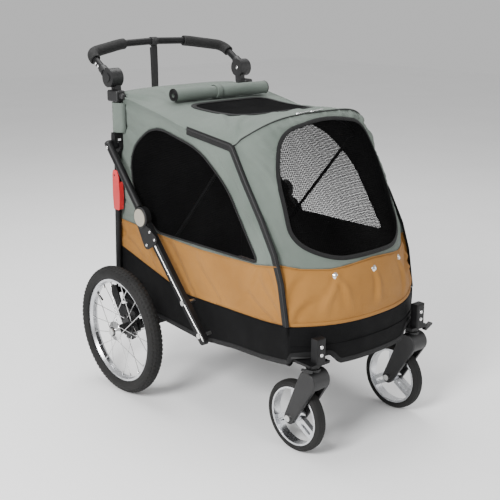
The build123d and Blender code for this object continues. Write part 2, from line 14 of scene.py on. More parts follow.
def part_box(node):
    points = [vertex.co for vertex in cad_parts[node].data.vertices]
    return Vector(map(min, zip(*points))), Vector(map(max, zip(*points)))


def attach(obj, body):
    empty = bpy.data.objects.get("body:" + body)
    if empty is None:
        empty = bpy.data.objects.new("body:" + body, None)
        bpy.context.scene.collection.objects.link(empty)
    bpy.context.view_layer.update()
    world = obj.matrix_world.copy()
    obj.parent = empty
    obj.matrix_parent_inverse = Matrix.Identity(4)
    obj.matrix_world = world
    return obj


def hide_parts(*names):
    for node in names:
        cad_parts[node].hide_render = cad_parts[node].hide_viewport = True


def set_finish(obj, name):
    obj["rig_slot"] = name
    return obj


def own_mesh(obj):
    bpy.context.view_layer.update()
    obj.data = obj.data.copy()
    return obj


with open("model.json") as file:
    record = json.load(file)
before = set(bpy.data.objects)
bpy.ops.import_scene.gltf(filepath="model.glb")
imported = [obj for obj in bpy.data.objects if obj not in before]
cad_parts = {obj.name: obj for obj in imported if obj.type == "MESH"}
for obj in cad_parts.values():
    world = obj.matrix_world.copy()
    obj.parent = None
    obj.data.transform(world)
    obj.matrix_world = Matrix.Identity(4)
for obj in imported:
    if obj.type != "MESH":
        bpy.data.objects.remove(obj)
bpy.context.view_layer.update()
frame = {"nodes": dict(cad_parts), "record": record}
nodes = frame["nodes"]
scene = bpy.context.scene
SIDES = {"left": -1, "right": 1}
MM = 0.001
HALF_WIDTH = 250.0
CLOTH_THICK = 1.0
FOLD_GAIN = 2.3
SIDE_INWARD = 3.2
SIDE_MOST = 0.9
NET_PITCH = 5.0
NET_GROW = 4.0
NET_LIFT = -0.6
ROLL_HALF = 175
ROLL_CENTRE = (150, 905.8)
ROLL_START, ROLL_GROWTH, ROLL_TURNS, ROLL_PHASE = 6.5, 14.0, 3.6, 0.6

# ---------------------------------------------------------------- camera

yaw, pitch = math.radians(41.49), math.radians(16.24)
looking = Vector((math.sin(yaw) * math.cos(pitch), math.cos(yaw) * math.cos(pitch), -math.sin(pitch)))
camera_data = bpy.data.cameras.new("camera")
camera_data.lens = 67.08
camera_data.sensor_width = 36.0
camera = bpy.data.objects.new("camera", camera_data)
camera.location = (-1.8154, -2.0380, 1.2319)
camera.rotation_euler = looking.to_track_quat("-Z", "Y").to_euler()
scene.collection.objects.link(camera)
scene.camera = camera

# ---------------------------------------------------------------- materials


def ramp(nt, source, stops):
    """A colour ramp on a texture's output."""
    node = nt.nodes.new("ShaderNodeValToRGB")
    while len(node.color_ramp.elements) < len(stops):
        node.color_ramp.elements.new(0.5)
    for element, (place, colour) in zip(node.color_ramp.elements, stops):
        element.position = place
        element.color = (*colour, 1.0)
    nt.links.new(source, node.inputs["Fac"])
    return node.outputs["Color"]


def noise_texture(nt, coords, scale, detail=4.0, stretch=None):
    """A noise texture in object coordinates, stretched where wanted."""
    node = nt.nodes.new("ShaderNodeTexNoise")
    node.inputs["Scale"].default_value = scale
    node.inputs["Detail"].default_value = detail
    source = coords
    if stretch:
        mapping = nt.nodes.new("ShaderNodeMapping")
        mapping.inputs["Scale"].default_value = stretch
        nt.links.new(coords, mapping.inputs["Vector"])
        source = mapping.outputs["Vector"]
    nt.links.new(source, node.inputs["Vector"])
    return node.outputs["Fac"]


def weave_height(nt, coords, pitch):
    """Height of a plain weave: threads across each of the three axes, added up."""
    total = None
    for axis in ("X", "Y", "Z"):
        wave = nt.nodes.new("ShaderNodeTexWave")
        wave.bands_direction = axis
        wave.inputs["Scale"].default_value = 2 * math.pi / (20 * pitch)
        wave.inputs["Distortion"].default_value = 0.4
        wave.inputs["Detail"].default_value = 1.0
        nt.links.new(coords, wave.inputs["Vector"])
        if total is None:
            total = wave.outputs["Fac"]
        else:
            add = nt.nodes.new("ShaderNodeMath")
            add.operation = "ADD"
            nt.links.new(total, add.inputs[0])
            nt.links.new(wave.outputs["Fac"], add.inputs[1])
            total = add.outputs["Value"]
    return total


def finish_of(name, stops, rough, bumps, blotch=9.0, metallic=0.0, weave=None, **sockets):
    """A material whose colour and roughness vary with noise, with bump layers of (scale, distance, stretch)."""
    mat = bpy.data.materials.new(name)
    mat.use_nodes = True
    nt = mat.node_tree
    shader = nt.nodes["Principled BSDF"]
    coords = nt.nodes.new("ShaderNodeTexCoord").outputs["Object"]
    field = noise_texture(nt, coords, blotch, 6.0)
    nt.links.new(ramp(nt, field, stops), shader.inputs["Base Color"])
    spread = nt.nodes.new("ShaderNodeMapRange")
    spread.inputs["To Min"].default_value = rough[0]
    spread.inputs["To Max"].default_value = rough[1]
    nt.links.new(noise_texture(nt, coords, blotch * 3.1, 5.0), spread.inputs["Value"])
    nt.links.new(spread.outputs["Result"], shader.inputs["Roughness"])
    shader.inputs["Metallic"].default_value = metallic
    for socket, value in sockets.items():
        shader.inputs[socket.replace("_", " ")].default_value = value
    normal = None
    layers = [(noise_texture(nt, coords, scale, 5.0, stretch), distance) for scale, distance, stretch in bumps]
    if weave:
        layers.append((weave_height(nt, coords, weave[0]), weave[1]))
    for height, distance in layers:
        bump = nt.nodes.new("ShaderNodeBump")
        bump.inputs["Strength"].default_value = 1.0
        bump.inputs["Distance"].default_value = distance
        nt.links.new(height, bump.inputs["Height"])
        if normal:
            nt.links.new(normal, bump.inputs["Normal"])
        normal = bump.outputs["Normal"]
    if normal:
        nt.links.new(normal, shader.inputs["Normal"])
    return mat


def cloth_of(name, dark, light, sheen=0.25, roll=0.0022, gloss=0.25):
    """Woven coated cloth: soft colour variation, creases, and threads 1.3 mm apart."""
    return finish_of(
        name, [(0.25, dark), (0.75, light)], (0.62, 0.82),
        [(14.0, roll, (1, 1, 1.7)), (55.0, 0.0006, None), (900.0, 0.00008, None)],
        blotch=7.0, weave=(0.0013, 0.00022), Sheen_Weight=sheen, Sheen_Roughness=0.5, Specular_IOR_Level=gloss,
    )


GREY = cloth_of("grey_cloth_look", (0.105, 0.130, 0.112), (0.150, 0.178, 0.156), 0.06)
TAN = cloth_of("tan_cloth_look", (0.275, 0.120, 0.022), (0.360, 0.168, 0.038), 0.04)
BLACK_CLOTH = cloth_of("black_cloth_look", (0.0022, 0.0022, 0.0024), (0.0046, 0.0046, 0.0050), 0.0, 0.0016, 0.12)
LINING = cloth_of("lining_look", (0.0035, 0.0033, 0.0032), (0.0080, 0.0074, 0.0070), 0.0, 0.0016)
BINDING = finish_of("binding_look", [(0.3, (0.0030, 0.0030, 0.0033)), (0.7, (0.0070, 0.0070, 0.0075))], (0.6, 0.8),
                    [(160.0, 0.0004, None)], weave=(0.0011, 0.0003), Sheen_Weight=0.03, Specular_IOR_Level=0.3)
WEBBING = finish_of("webbing_look", [(0.3, (0.0040, 0.0040, 0.0044)), (0.7, (0.0090, 0.0090, 0.0095))], (0.5, 0.7),
                    [(300.0, 0.0002, None)], weave=(0.0022, 0.0006), Sheen_Weight=0.04)
MESH = finish_of("mesh_look", [(0.3, (0.0016, 0.0016, 0.0018)), (0.7, (0.0045, 0.0045, 0.0048))], (0.7, 0.85),
                 [(600.0, 0.0001, None)], Specular_IOR_Level=0.08)
MAT_CLOTH = cloth_of("mat_cloth_look", (0.085, 0.040, 0.024), (0.135, 0.070, 0.044), 0.3)
POWDER = finish_of("powder_coat_look", [(0.3, (0.0038, 0.0038, 0.0042)), (0.7, (0.0080, 0.0080, 0.0085))], (0.40, 0.56),
                   [(900.0, 0.00012, None), (60.0, 0.0002, None)], blotch=20.0, Specular_IOR_Level=0.24)
MOULDED = finish_of("moulded_plastic_look", [(0.3, (0.0045, 0.0045, 0.0050)), (0.7, (0.0095, 0.0095, 0.0100))],
                    (0.42, 0.58), [(1400.0, 0.00012, None), (30.0, 0.0003, None)], blotch=14.0)
RUBBER = finish_of("tyre_look", [(0.25, (0.0045, 0.0045, 0.0045)), (0.8, (0.0120, 0.0115, 0.0110))], (0.66, 0.86),
                   [(500.0, 0.0003, None), (40.0, 0.0004, None)], blotch=12.0, Specular_IOR_Level=0.35)
FOAM = finish_of("grip_foam_look", [(0.3, (0.0040, 0.0040, 0.0040)), (0.7, (0.0085, 0.0085, 0.0085))], (0.74, 0.9),
                 [(1100.0, 0.0005, None), (120.0, 0.0006, None)], blotch=30.0)
SILVER = finish_of("satin_silver_look", [(0.3, (0.56, 0.56, 0.55)), (0.7, (0.68, 0.68, 0.67))], (0.24, 0.40),
                   [(700.0, 0.00005, (1, 8, 8))], blotch=18.0, metallic=1.0)
RIM = finish_of("machined_rim_look", [(0.3, (0.60, 0.61, 0.63)), (0.7, (0.74, 0.75, 0.77))], (0.20, 0.34),
                [(500.0, 0.00006, (9, 1, 1))], blotch=16.0, metallic=1.0)
CHROME = finish_of("chrome_look", [(0.3, (0.70, 0.70, 0.70)), (0.7, (0.82, 0.82, 0.82))], (0.08, 0.18),
                   [(80.0, 0.00004, None)], blotch=25.0, metallic=1.0)
RED = finish_of("red_plastic_look", [(0.3, (0.46, 0.012, 0.016)), (0.7, (0.60, 0.022, 0.026))], (0.26, 0.4),
                [(700.0, 0.0001, None)], blotch=16.0, Coat_Weight=0.3)
BOARD = finish_of("floor_panel_look", [(0.3, (0.014, 0.014, 0.014)), (0.7, (0.03, 0.03, 0.03))], (0.6, 0.8),
                  [(220.0, 0.0003, None)], blotch=10.0)

LOOK_OF_SLOT = {
    "black_frame": POWDER, "black_plastic": MOULDED, "silver_metal": SILVER, "bright_rim": RIM,
    "spoke_wire": CHROME, "black_tyre": RUBBER, "grip_foam": FOAM, "grey_cloth": GREY, "tan_cloth": TAN,
    "black_cloth": BLACK_CLOTH, "mesh_cloth": MESH, "webbing": WEBBING, "red_plastic": RED,
    "floor_panel": BOARD, "mat_cloth": MAT_CLOTH, "bow_wire": POWDER, "snap_metal": CHROME,
}
CAP = finish_of("hub_cap_look", [(0.3, (0.50, 0.46, 0.38)), (0.7, (0.60, 0.56, 0.48))], (0.36, 0.5),
                [(900.0, 0.00006, (1, 9, 9))], blotch=18.0, metallic=0.85)
for node_object in nodes.values():
    for holder in node_object.material_slots:
        for slot_name, look in LOOK_OF_SLOT.items():
            if holder.material and slot_name in holder.material.name:
                holder.material = look

for holder in nodes["hub_caps"].material_slots:
    holder.material = CAP

# ---------------------------------------------------------------- mesh helpers

frame_slots = {m["slot"] for m in frame["record"]["materials"]}


def piece(name, points, faces, look, slot, smooth=True):
    """A new piece from its points and faces."""
    data = bpy.data.meshes.new(name)
    data.from_pydata([tuple(p) for p in points], [], [tuple(f) for f in faces])
    data.materials.append(look)
    for polygon in data.polygons:
        polygon.use_smooth = smooth
    made = bpy.data.objects.new(name, data)
    scene.collection.objects.link(made)
    if slot in frame_slots:
        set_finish(made, slot)
    return made


def outward(made):
    """Turns the faces of a closed piece to face out."""
    shape = bmesh.new()
    shape.from_mesh(made.data)
    bmesh.ops.recalc_face_normals(shape, faces=shape.faces)
    shape.to_mesh(made.data)
    shape.free()
    return made


def solid(made, thickness, offset=0.0):
    """Gives a sheet its thickness, as mesh."""
    modifier = made.modifiers.new("thickness", "SOLIDIFY")
    modifier.thickness = thickness
    modifier.offset = offset
    apply_modifiers(made)
    return made


def apply_modifiers(made):
    """Leaves the piece with its modified mesh and no modifiers."""
    bpy.context.view_layer.update()
    done = bpy.data.meshes.new_from_object(made.evaluated_get(bpy.context.evaluated_depsgraph_get()))
    made.modifiers.clear()
    old = made.data
    made.data = done
    bpy.data.meshes.remove(old)


def area_of(made):
    """The surface of a piece's mesh in square metres."""
    return sum(p.area for p in made.data.polygons)


def rounded(corners, radius, step=4.0, closed=True):
    """A polygon's outline with rounded corners, as evenly spaced points. Millimetres in and out."""
    pts = [Vector(c) for c in corners]
    radii = list(radius) if hasattr(radius, "__len__") else [radius] * len(pts)
    line = []
    n = len(pts)
    for i, p in enumerate(pts):
        if not closed and i in (0, n - 1):
            line.append(p)
            continue
        a, b = (pts[i - 1] - p), (pts[(i + 1) % n] - p)
        room = min(a.length, b.length) * 0.48
        half = math.acos(max(-1, min(1, a.normalized().dot(b.normalized())))) / 2
        reach = min(radii[i] / max(math.tan(half), 1e-3), room)
        start, end = p + a.normalized() * reach, p + b.normalized() * reach
        for k in range(9):
            t = k / 8
            line.append(start * (1 - t) ** 2 + p * 2 * t * (1 - t) + end * t * t)
    return evenly(line, step, closed)


def evenly(line, step, closed=False):
    """The same line with points about one step apart."""
    pts = np.array([tuple(p) for p in line], float)
    if closed:
        pts = np.vstack([pts, pts[:1]])
    run = np.concatenate([[0], np.cumsum(np.linalg.norm(np.diff(pts, axis=0), axis=1))])
    count = max(2, int(round(run[-1] / step)) + 1)
    at = np.linspace(0, run[-1], count)
    out = np.stack([np.interp(at, run, pts[:, k]) for k in range(pts.shape[1])], axis=1)
    return out[:-1] if closed else out


def inside(points, polygon):
    """Which of the 2D points are inside the polygon."""
    x, y = points[:, 0], points[:, 1]
    odd = np.zeros(len(points), bool)
    px, py = polygon[:, 0], polygon[:, 1]
    j = len(polygon) - 1
    for i in range(len(polygon)):
        crosses = (py[i] > y) != (py[j] > y)
        slope = (px[j] - px[i]) * (y - py[i]) / (py[j] - py[i] + 1e-12) + px[i]
        odd ^= crosses & (x < slope)
        j = i
    return odd


def distance_to(points, polygon):
    """Each point's distance from the closed outline."""
    best = np.full(len(points), 1e9)
    for a, b in zip(polygon, np.roll(polygon, -1, axis=0)):
        d = b - a
        t = np.clip(((points - a) @ d) / max(d @ d, 1e-12), 0, 1)
        best = np.minimum(best, np.linalg.norm(points - a - t[:, None] * d, axis=1))
    return best


def flat_cut(outline, holes=(), pitch=9.0):
    """A flat cut of cloth as a fine triangle net: points, faces and distance from the nearest edge."""
    outline = np.array(outline, float)
    holes = [np.array(h, float) for h in holes]
    low, high = outline.min(axis=0), outline.max(axis=0)
    rows = np.arange(low[1], high[1], pitch * 0.866)
    grid = []
    for k, v in enumerate(rows):
        us = np.arange(low[0] + (k % 2) * pitch / 2, high[0], pitch)
        grid += [(u, v) for u in us]
    grid = np.array(grid)
    edge = distance_to(grid, outline)
    keep = inside(grid, outline)
    for hole in holes:
        edge = np.minimum(edge, distance_to(grid, hole))
        keep &= ~inside(grid, hole)
    grid = grid[keep & (edge > pitch * 0.45)]
    loops = [outline, *holes]
    points = [Vector(p) for loop in loops for p in loop] + [Vector(p) for p in grid]
    edges, start = [], 0
    for loop in loops:
        edges += [(start + i, start + (i + 1) % len(loop)) for i in range(len(loop))]
        start += len(loop)
    points, _, faces, _, _, _ = delaunay_2d_cdt(points, edges, [], 0, 1e-7)
    points = np.array([tuple(p) for p in points])
    faces = np.array(faces)
    centre = points[faces].mean(axis=1)
    good = inside(centre, outline)
    for hole in holes:
        good &= ~inside(centre, hole)
    edge = distance_to(points, outline)
    for hole in holes:
        edge = np.minimum(edge, distance_to(points, hole))
    return points, faces[good], edge


def smoothstep(t):
    """0 below 0, 1 above 1, and a smooth rise between."""
    t = min(1.0, max(0.0, t))
    return t * t * (3 - 2 * t)


def crease(u, v, seed, along=(1.0, 1.0), size=90.0):
    """Height from -1 to 1 of soft creases at a place on the cloth, stretched along one way."""
    p = Vector((u / size * along[0], v / size * along[1], seed))
    broad = noise.noise(p)
    sharp = 1 - 2 * abs(noise.noise(p * 1.9 + Vector((7.1, 3.3, 1.7))))
    fine = noise.noise(p * 4.3)
    return 0.6 * broad + 0.28 * sharp + 0.16 * fine


def fold_height(u, v, folds):
    """Height in mm of single folds: each runs from a place to a place, with a width and a height."""
    total = 0.0
    for u0, v0, u1, v1, width, height in folds:
        du, dv = u1 - u0, v1 - v0
        span = math.hypot(du, dv)
        t = ((u - u0) * du + (v - v0) * dv) / (span * span)
        if -0.25 < t < 1.25:
            off = ((u - u0) * dv - (v - v0) * du) / span
            off += 4.0 * math.sin(t * 5.0 + u0)
            taper = math.sin(math.pi * min(1.0, max(0.0, (t + 0.25) / 1.5))) ** 0.8
            across = off / (width * (0.55 + 0.6 * abs(t)))
            ridge = math.exp(-across * across) - 0.55 * math.exp(-((across - 1.6) ** 2))
            total += FOLD_GAIN * height * taper * ridge
    return total


def smooth_area(points, faces):
    """Area in square metres of a surface given as points and faces."""
    data = bpy.data.meshes.new("flat")
    data.from_pydata([tuple(p) for p in points], [], faces)
    area = sum(polygon.area for polygon in data.polygons)
    bpy.data.meshes.remove(data)
    return area


def cut_size(cut, place):
    """Width and length in metres of a cut's blank, measured along the surface it lies on."""
    cut = np.array(cut, float)
    sizes = []
    for axis in (0, 1):
        across = cut[:, 1 - axis]
        widest, spot_at = 0.0, 0.0
        for at in np.linspace(across.min(), across.max(), 25):
            near = cut[np.abs(across - at) <= 7.0, axis]
            if len(near) > 1 and near.max() - near.min() > widest:
                widest, spot_at, start, stop = near.max() - near.min(), at, near.min(), near.max()
        steps = np.linspace(start, stop, 60)
        spots = np.array([place(*((k, spot_at) if axis == 0 else (spot_at, k)))[0] for k in steps])
        along_surface = np.linalg.norm(np.diff(spots, axis=0), axis=1).sum()
        sizes.append(along_surface / widest * (cut[:, axis].max() - cut[:, axis].min()))
    return sorted(sizes)


def grid_size(columns, faces):
    """Width, length and area of a cut given as columns of points on its smooth surface."""
    grid = np.array([[tuple(p) for p in column] for column in columns])
    down = np.linalg.norm(np.diff(grid, axis=1), axis=2).sum(axis=1).max()
    over = np.linalg.norm(np.diff(grid, axis=0), axis=2).sum(axis=0).max()
    return sorted((down, over)) + [smooth_area(grid.reshape(-1, 3), faces)]


def panel(name, cut_points, place, look, slot, holes=(), pitch=9.0, depth=1.6, seed=0.0, along=(1, 1),
          puff=0.0, size=90.0, folds=(), most=None):
    """A lined cloth panel laid on the surface that place() gives as (point, outward normal).

    Returns it with its flat width, length and area. most limits in mm how far folds stand outwards."""
    points, faces, edge = flat_cut(cut_points, holes, pitch)
    where, smooth = [], []
    for (u, v), e in zip(points, edge):
        spot, normal = place(u, v)
        smooth.append(spot)
        fade = smoothstep(e / 38.0)
        ease = min(1.0, e / 14.0)
        lift = depth * crease(u, v, seed, along, size) * fade + puff * min(1.0, e / 60.0)
        lift += fold_height(u, v, folds) * ease
        if most is not None:
            lift -= SIDE_INWARD * ease
            lift = lift if lift < 0 else most * math.tanh(lift / most)
        where.append(spot + normal * (lift * MM))
    made = piece(name, where, faces, look, slot)
    outward_one = place(*points[faces[0][0]])[1]
    if made.data.polygons[0].normal.dot(outward_one) < 0:
        made.data.flip_normals()
    flat = cut_size(points, place) + [smooth_area(smooth, faces)]
    made.data.materials.append(LINING)
    modifier = made.modifiers.new("thickness", "SOLIDIFY")
    modifier.thickness = CLOTH_THICK * MM
    modifier.offset = -1.0
    modifier.material_offset = 1
    apply_modifiers(made)
    return made, flat


def declare(made, flat):
    """Rounds a cut of cloth's blank width and length and its own flat area; nothing is kept."""
    width, length, area = (round(float(size), 5) for size in flat)


def normals_along(path, closed):
    """The unit directions along a line of points."""
    if closed:
        ahead, behind = np.roll(path, -1, axis=0), np.roll(path, 1, axis=0)
    else:
        ahead = np.vstack([path[1:], path[-1:]])
        behind = np.vstack([path[:1], path[:-1]])
    t = ahead - behind
    return t / np.maximum(np.linalg.norm(t, axis=1), 1e-9)[:, None]


def band(name, path, normals, width, look, slot, lift=0.0, crown=0.6, thick=1.0, closed=False, shift=0.0):
    """A ribbon along a path, slightly crowned across. Path in metres, sizes in mm."""
    path, normals = np.array(path, float), np.array(normals, float)
    t = normals_along(path, closed)
    across = np.cross(normals, t)
    across /= np.maximum(np.linalg.norm(across, axis=1), 1e-9)[:, None]
    steps = (-1.0, -0.62, 0.0, 0.62, 1.0)
    rows = [path + across * ((shift + k * width / 2) * MM) + normals * ((lift + crown * (1 - k * k)) * MM)
            for k in steps]
    points = np.stack(rows, axis=1).reshape(-1, 3)
    n, m = len(path), len(steps)
    faces = []
    for i in range(n if closed else n - 1):
        j = (i + 1) % n
        faces += [(i * m + k, i * m + k + 1, j * m + k + 1, j * m + k) for k in range(m - 1)]
    made = piece(name, points, faces, look, slot)
    return solid(made, thick * MM, 0.0)


def pipe(name, path, radius, look, slot, closed=False, sides=8):
    """A round cord sewn along a path. Path in metres, radius in mm."""
    path = np.array(path, float)
    t = normals_along(path, closed)
    up = np.array([0.0, 0.0, 1.0]) if abs(t[0][2]) < 0.9 else np.array([0.0, 1.0, 0.0])
    u = np.cross(t[0], up)
    u /= np.linalg.norm(u)
    points, n = [], len(path)
    for i in range(n):
        u = u - t[i] * (u @ t[i])
        u /= np.linalg.norm(u)
        w = np.cross(t[i], u)
        for k in range(sides):
            a = 2 * math.pi * k / sides
            points.append(path[i] + (u * math.cos(a) + w * math.sin(a)) * (radius * MM))
    faces = []
    for i in range(n if closed else n - 1):
        j = (i + 1) % n
        faces += [(i * sides + k, i * sides + (k + 1) % sides, j * sides + (k + 1) % sides, j * sides + k)
                  for k in range(sides)]
    if not closed:
        faces += [tuple(range(sides))[::-1], tuple((n - 1) * sides + k for k in range(sides))]
    return outward(piece(name, points, faces, look, slot))


def turned(name, profile, origin, axis, look, slot, segments=40, closed=False):
    """A turned piece: (radius, height) in mm, about an axis through origin (metres)."""
    axis = Vector(axis).normalized()
    u = axis.orthogonal().normalized()
    w = axis.cross(u)
    points, faces = [], []
    m = len(profile)
    for i in range(segments):
        a = 2 * math.pi * i / segments
        ray = u * math.cos(a) + w * math.sin(a)
        points += [Vector(origin) + ray * (r * MM) + axis * (h * MM) for r, h in profile]
        j = (i + 1) % segments
        last = m if closed else m - 1
        faces += [(i * m + k, j * m + k, j * m + (k + 1) % m, i * m + (k + 1) % m) for k in range(last)]
    made = piece(name, points, faces, look, slot)
    shape = bmesh.new()
    shape.from_mesh(made.data)
    bmesh.ops.remove_doubles(shape, verts=shape.verts, dist=1e-6)
    bmesh.ops.recalc_face_normals(shape, faces=shape.faces)
    shape.to_mesh(made.data)
    shape.free()
    return made


def merge(name, made):
    """One piece from several."""
    points, faces, start = [], [], 0
    look = made[0].data.materials[0]
    slot = made[0].get("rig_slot", "")
    for m in made:
        points += [v.co.copy() for v in m.data.vertices]
        faces += [tuple(start + i for i in p.vertices) for p in m.data.polygons]
        start += len(m.data.vertices)
        bpy.data.objects.remove(m)
    return piece(name, points, faces, look, slot)


def stitches(name, path, normals, look, slot, pitch=6.0, length=4.0, thick=0.5, closed=False, shift=0.0):
    """A row of sewn stitches along a path."""
    path, normals = np.array(path, float), np.array(normals, float)
    t = normals_along(path, closed)
    side = np.cross(normals, t)
    run = np.concatenate([[0], np.cumsum(np.linalg.norm(np.diff(path, axis=0), axis=1))])
    points, faces = [], []
    for at in np.arange(pitch * MM, run[-1] - pitch * MM, pitch * MM):
        i = min(len(path) - 1, int(np.searchsorted(run, at)))
        centre = np.array([np.interp(at, run, path[:, k]) for k in range(3)]) + side[i] * shift * MM
        b = len(points)
        for along_t, lift in ((-0.5, 0.0), (-0.25, 1.0), (0.25, 1.0), (0.5, 0.0)):
            for k in (-1, 1):
                points.append(centre + t[i] * along_t * length * MM + side[i] * k * thick * 0.5 * MM
                              + normals[i] * (lift * thick + 0.05) * MM)
        faces += [(b, b + 1, b + 3, b + 2), (b + 2, b + 3, b + 5, b + 4), (b + 4, b + 5, b + 7, b + 6),
                  (b, b + 2, b + 4, b + 6), (b + 1, b + 7, b + 5, b + 3), (b, b + 6, b + 7, b + 1)]
    return outward(piece(name, points, faces, look, slot, smooth=False))


# ---------------------------------------------------------------- cabin surfaces


def tree(*names):
    """A search tree of the CAD nodes' meshes."""
    points, faces = [], []
    for name in names:
        data = nodes[name].data
        start = len(points)
        points += [v.co.copy() for v in data.vertices]
        faces += [tuple(start + i for i in p.vertices) for p in data.polygons]
    return BVHTree.FromPolygons(points, faces)


SEAM = [(345, 427), (51, 354), (4, 348), (-316, 358), (-400, 366)]
ROOF_EDGE = [(345, 901), (230, 884), (118, 862), (-6, 834), (-196.5, 811)]
ZIP_LINE = [(-196.5, 811), (-248.5, 729), (-314.5, 634), (-364.5, 551), (-391.5, 477), (-412, 367)]
SIDE_WINDOW = [(152, 828), (280, 733), (252, 580), (140, 509), (-300, 515), (-176, 697), (-60, 783)]
SIDE_WINDOW_RADII = [150, 130, 150, 60, 12, 260, 260]
FRONT_WINDOW = [(-122, 533), (122, 533), (206, 576), (196, 740), (158, 848), (0, 874), (-158, 848), (-196, 740),
                (-206, 576)]
FRONT_WINDOW_RADII = [190, 190, 110, 300, 130, 420, 130, 300, 110]
ROOF_WINDOW = [(-150, 118), (150, 118), (140, -70), (104, -150), (-104, -150), (-140, -70)]
SIDE_SPLIT = [(345, 514), (134, 502), (-55, 498), (-295, 507), (-374, 521)]
FRONT_SPLIT = [(-250.0, 523), (-231, 519), (-201, 512), (-135, 509), (-50, 518), (0, 521), (50, 518), (135, 509),
               (201, 512), (231, 519), (250.0, 523)]


def on_side(s, lift=0.0):
    """Places (y, z) in mm on a side wall."""
    def place(y, z):
        return Vector((s * (HALF_WIDTH + lift) * MM, y * MM, z * MM)), Vector((s, 0, 0))
    return place


NOSE = tree("front_flap", "front_window")
ROOF = tree("roof", "roof_window")
WHOLE = tree("roof", "roof_window", "front_flap", "front_window")


def height_grid(us, vs, cast):
    """Heights over a grid: stray hits at cut edges are dropped, gaps are filled and the rest is smoothed."""
    raw = np.array([[cast(u, v) for u in us] for v in vs])
    for column in raw.T:
        good = ~np.isnan(column)
        column[:] = np.interp(vs, vs[good], column[good]) if good.sum() > 1 else column
    for column in range(raw.shape[1]):
        if np.isnan(raw[:, column]).any():
            raw[:, column] = raw[:, column + (1 if column < raw.shape[1] / 2 else -1)]
    for take in (np.median, np.median, np.mean, np.mean):
        wide = np.pad(raw, 1, mode="reflect", reflect_type="odd")
        near = [wide[a:a + raw.shape[0], b:b + raw.shape[1]] for a in range(3) for b in range(3)]
        raw = take(near, axis=0)
    return raw


def sample(grid, us, vs, u, v):
    """The grid's height at a place, between its points."""
    a = min(max((u - us[0]) / (us[1] - us[0]), 0.0), len(us) - 1.001)
    b = min(max((v - vs[0]) / (vs[1] - vs[0]), 0.0), len(vs) - 1.001)
    i, j = int(a), int(b)
    fa, fb = a - i, b - j
    low = grid[j, i] * (1 - fa) + grid[j, i + 1] * fa
    high = grid[j + 1, i] * (1 - fa) + grid[j + 1, i + 1] * fa
    return low * (1 - fb) + high * fb


def nose_cast(x, z):
    """Distance back of the CAD's nose in mm, if the ray meets its front."""
    spot, normal, _, _ = NOSE.ray_cast(Vector((x * MM, -0.8, z * MM)), Vector((0, 1, 0)))
    return spot.y / MM if spot is not None and abs(normal.y) > 0.12 else math.nan


def roof_cast(x, y):
    """Height of the CAD's roof in mm, if the ray meets its top."""
    spot, normal, _, _ = ROOF.ray_cast(Vector((x * MM, y * MM, 1.2)), Vector((0, 0, -1)))
    return spot.z / MM if spot is not None and abs(normal.z) > 0.3 else math.nan


def arch_cast(x, y):
    """Height of roof or nose in mm."""
    spot = WHOLE.ray_cast(Vector((x * MM, y * MM, 1.2)), Vector((0, 0, -1)))[0]
    return spot.z / MM if spot is not None else 700.0


def arch_point(x):
    """(y, z) in mm where the roof's front edge crosses this x."""
    low, high = -300.0, -190.0
    for _ in range(18):
        middle = (low + high) / 2
        if arch_cast(x, middle) > 811 + (-196.5 - middle) * (98 / 93.5):
            high = middle
        else:
            low = middle
    return high, 811 + (-196.5 - high) * (98 / 93.5)


ARCH_X = np.linspace(-250.0, 250.0, 61)
arch_raw = np.array([arch_point(min(246.0, abs(x))) for x in ARCH_X])
arch_raw = (arch_raw + arch_raw[::-1]) / 2
arch_raw[[0, -1]] = (-196.5, 811.0)
for _ in range(3):
    arch_raw[1:-1] = (arch_raw[:-2] + 2 * arch_raw[1:-1] + arch_raw[2:]) / 4
ARCH = [(x, y, z) for x, (y, z) in zip(ARCH_X, arch_raw)]

NOSE_X, NOSE_Z = np.arange(-240.0, 241.0, 10.0), np.arange(358.0, 890.0, 9.0)
NOSE_GRID = height_grid(NOSE_X, NOSE_Z, nose_cast)
ROOF_X, ROOF_Y = np.arange(-240.0, 241.0, 10.0), np.arange(-286.0, 346.0, 9.0)
ROOF_GRID = height_grid(ROOF_X, ROOF_Y, roof_cast)


def nose_back(x, z):
    """Distance back of the nose in mm, meeting the zip lines at the sides and the arch at the top."""
    y = sample(NOSE_GRID, NOSE_X, NOSE_Z, x, z)
    side = float(np.interp(z, [q[1] for q in ZIP_LINE[::-1]], [q[0] for q in ZIP_LINE[::-1]]))
    t = smoothstep((abs(x) - 232) / 18)
    y = y * (1 - t) + side * t
    top_y = float(np.interp(x, ARCH_X, arch_raw[:, 0]))
    top_z = float(np.interp(x, ARCH_X, arch_raw[:, 1]))
    t = smoothstep((z - top_z + 16) / 16)
    return y * (1 - t) + top_y * t


def on_nose(x, z):
    """Places (x, z) in mm on the nose."""
    x = max(-250.0, min(250.0, x))
    slope_x = (nose_back(x + 3, z) - nose_back(x - 3, z)) / 6
    slope_z = (nose_back(x, z + 3) - nose_back(x, z - 3)) / 6
    return Vector((x, nose_back(x, z), z)) * MM, Vector((slope_x, -1, slope_z)).normalized()


def roof_up(x, y):
    """Height of the roof in mm, meeting the side walls' top edge."""
    z = sample(ROOF_GRID, ROOF_X, ROOF_Y, x, y)
    side = float(np.interp(-y, [-q[0] for q in ROOF_EDGE], [q[1] for q in ROOF_EDGE]))
    t = smoothstep((abs(x) - 232) / 18)
    return z * (1 - t) + side * t


def on_roof(x, y):
    """Places (x, y) in mm on the roof."""
    slope_x = (roof_up(x + 3, y) - roof_up(x - 3, y)) / 6
    slope_y = (roof_up(x, y + 3) - roof_up(x, y - 3)) / 6
    return Vector((x, y, roof_up(x, y))) * MM, Vector((-slope_x, -slope_y, 1)).normalized()


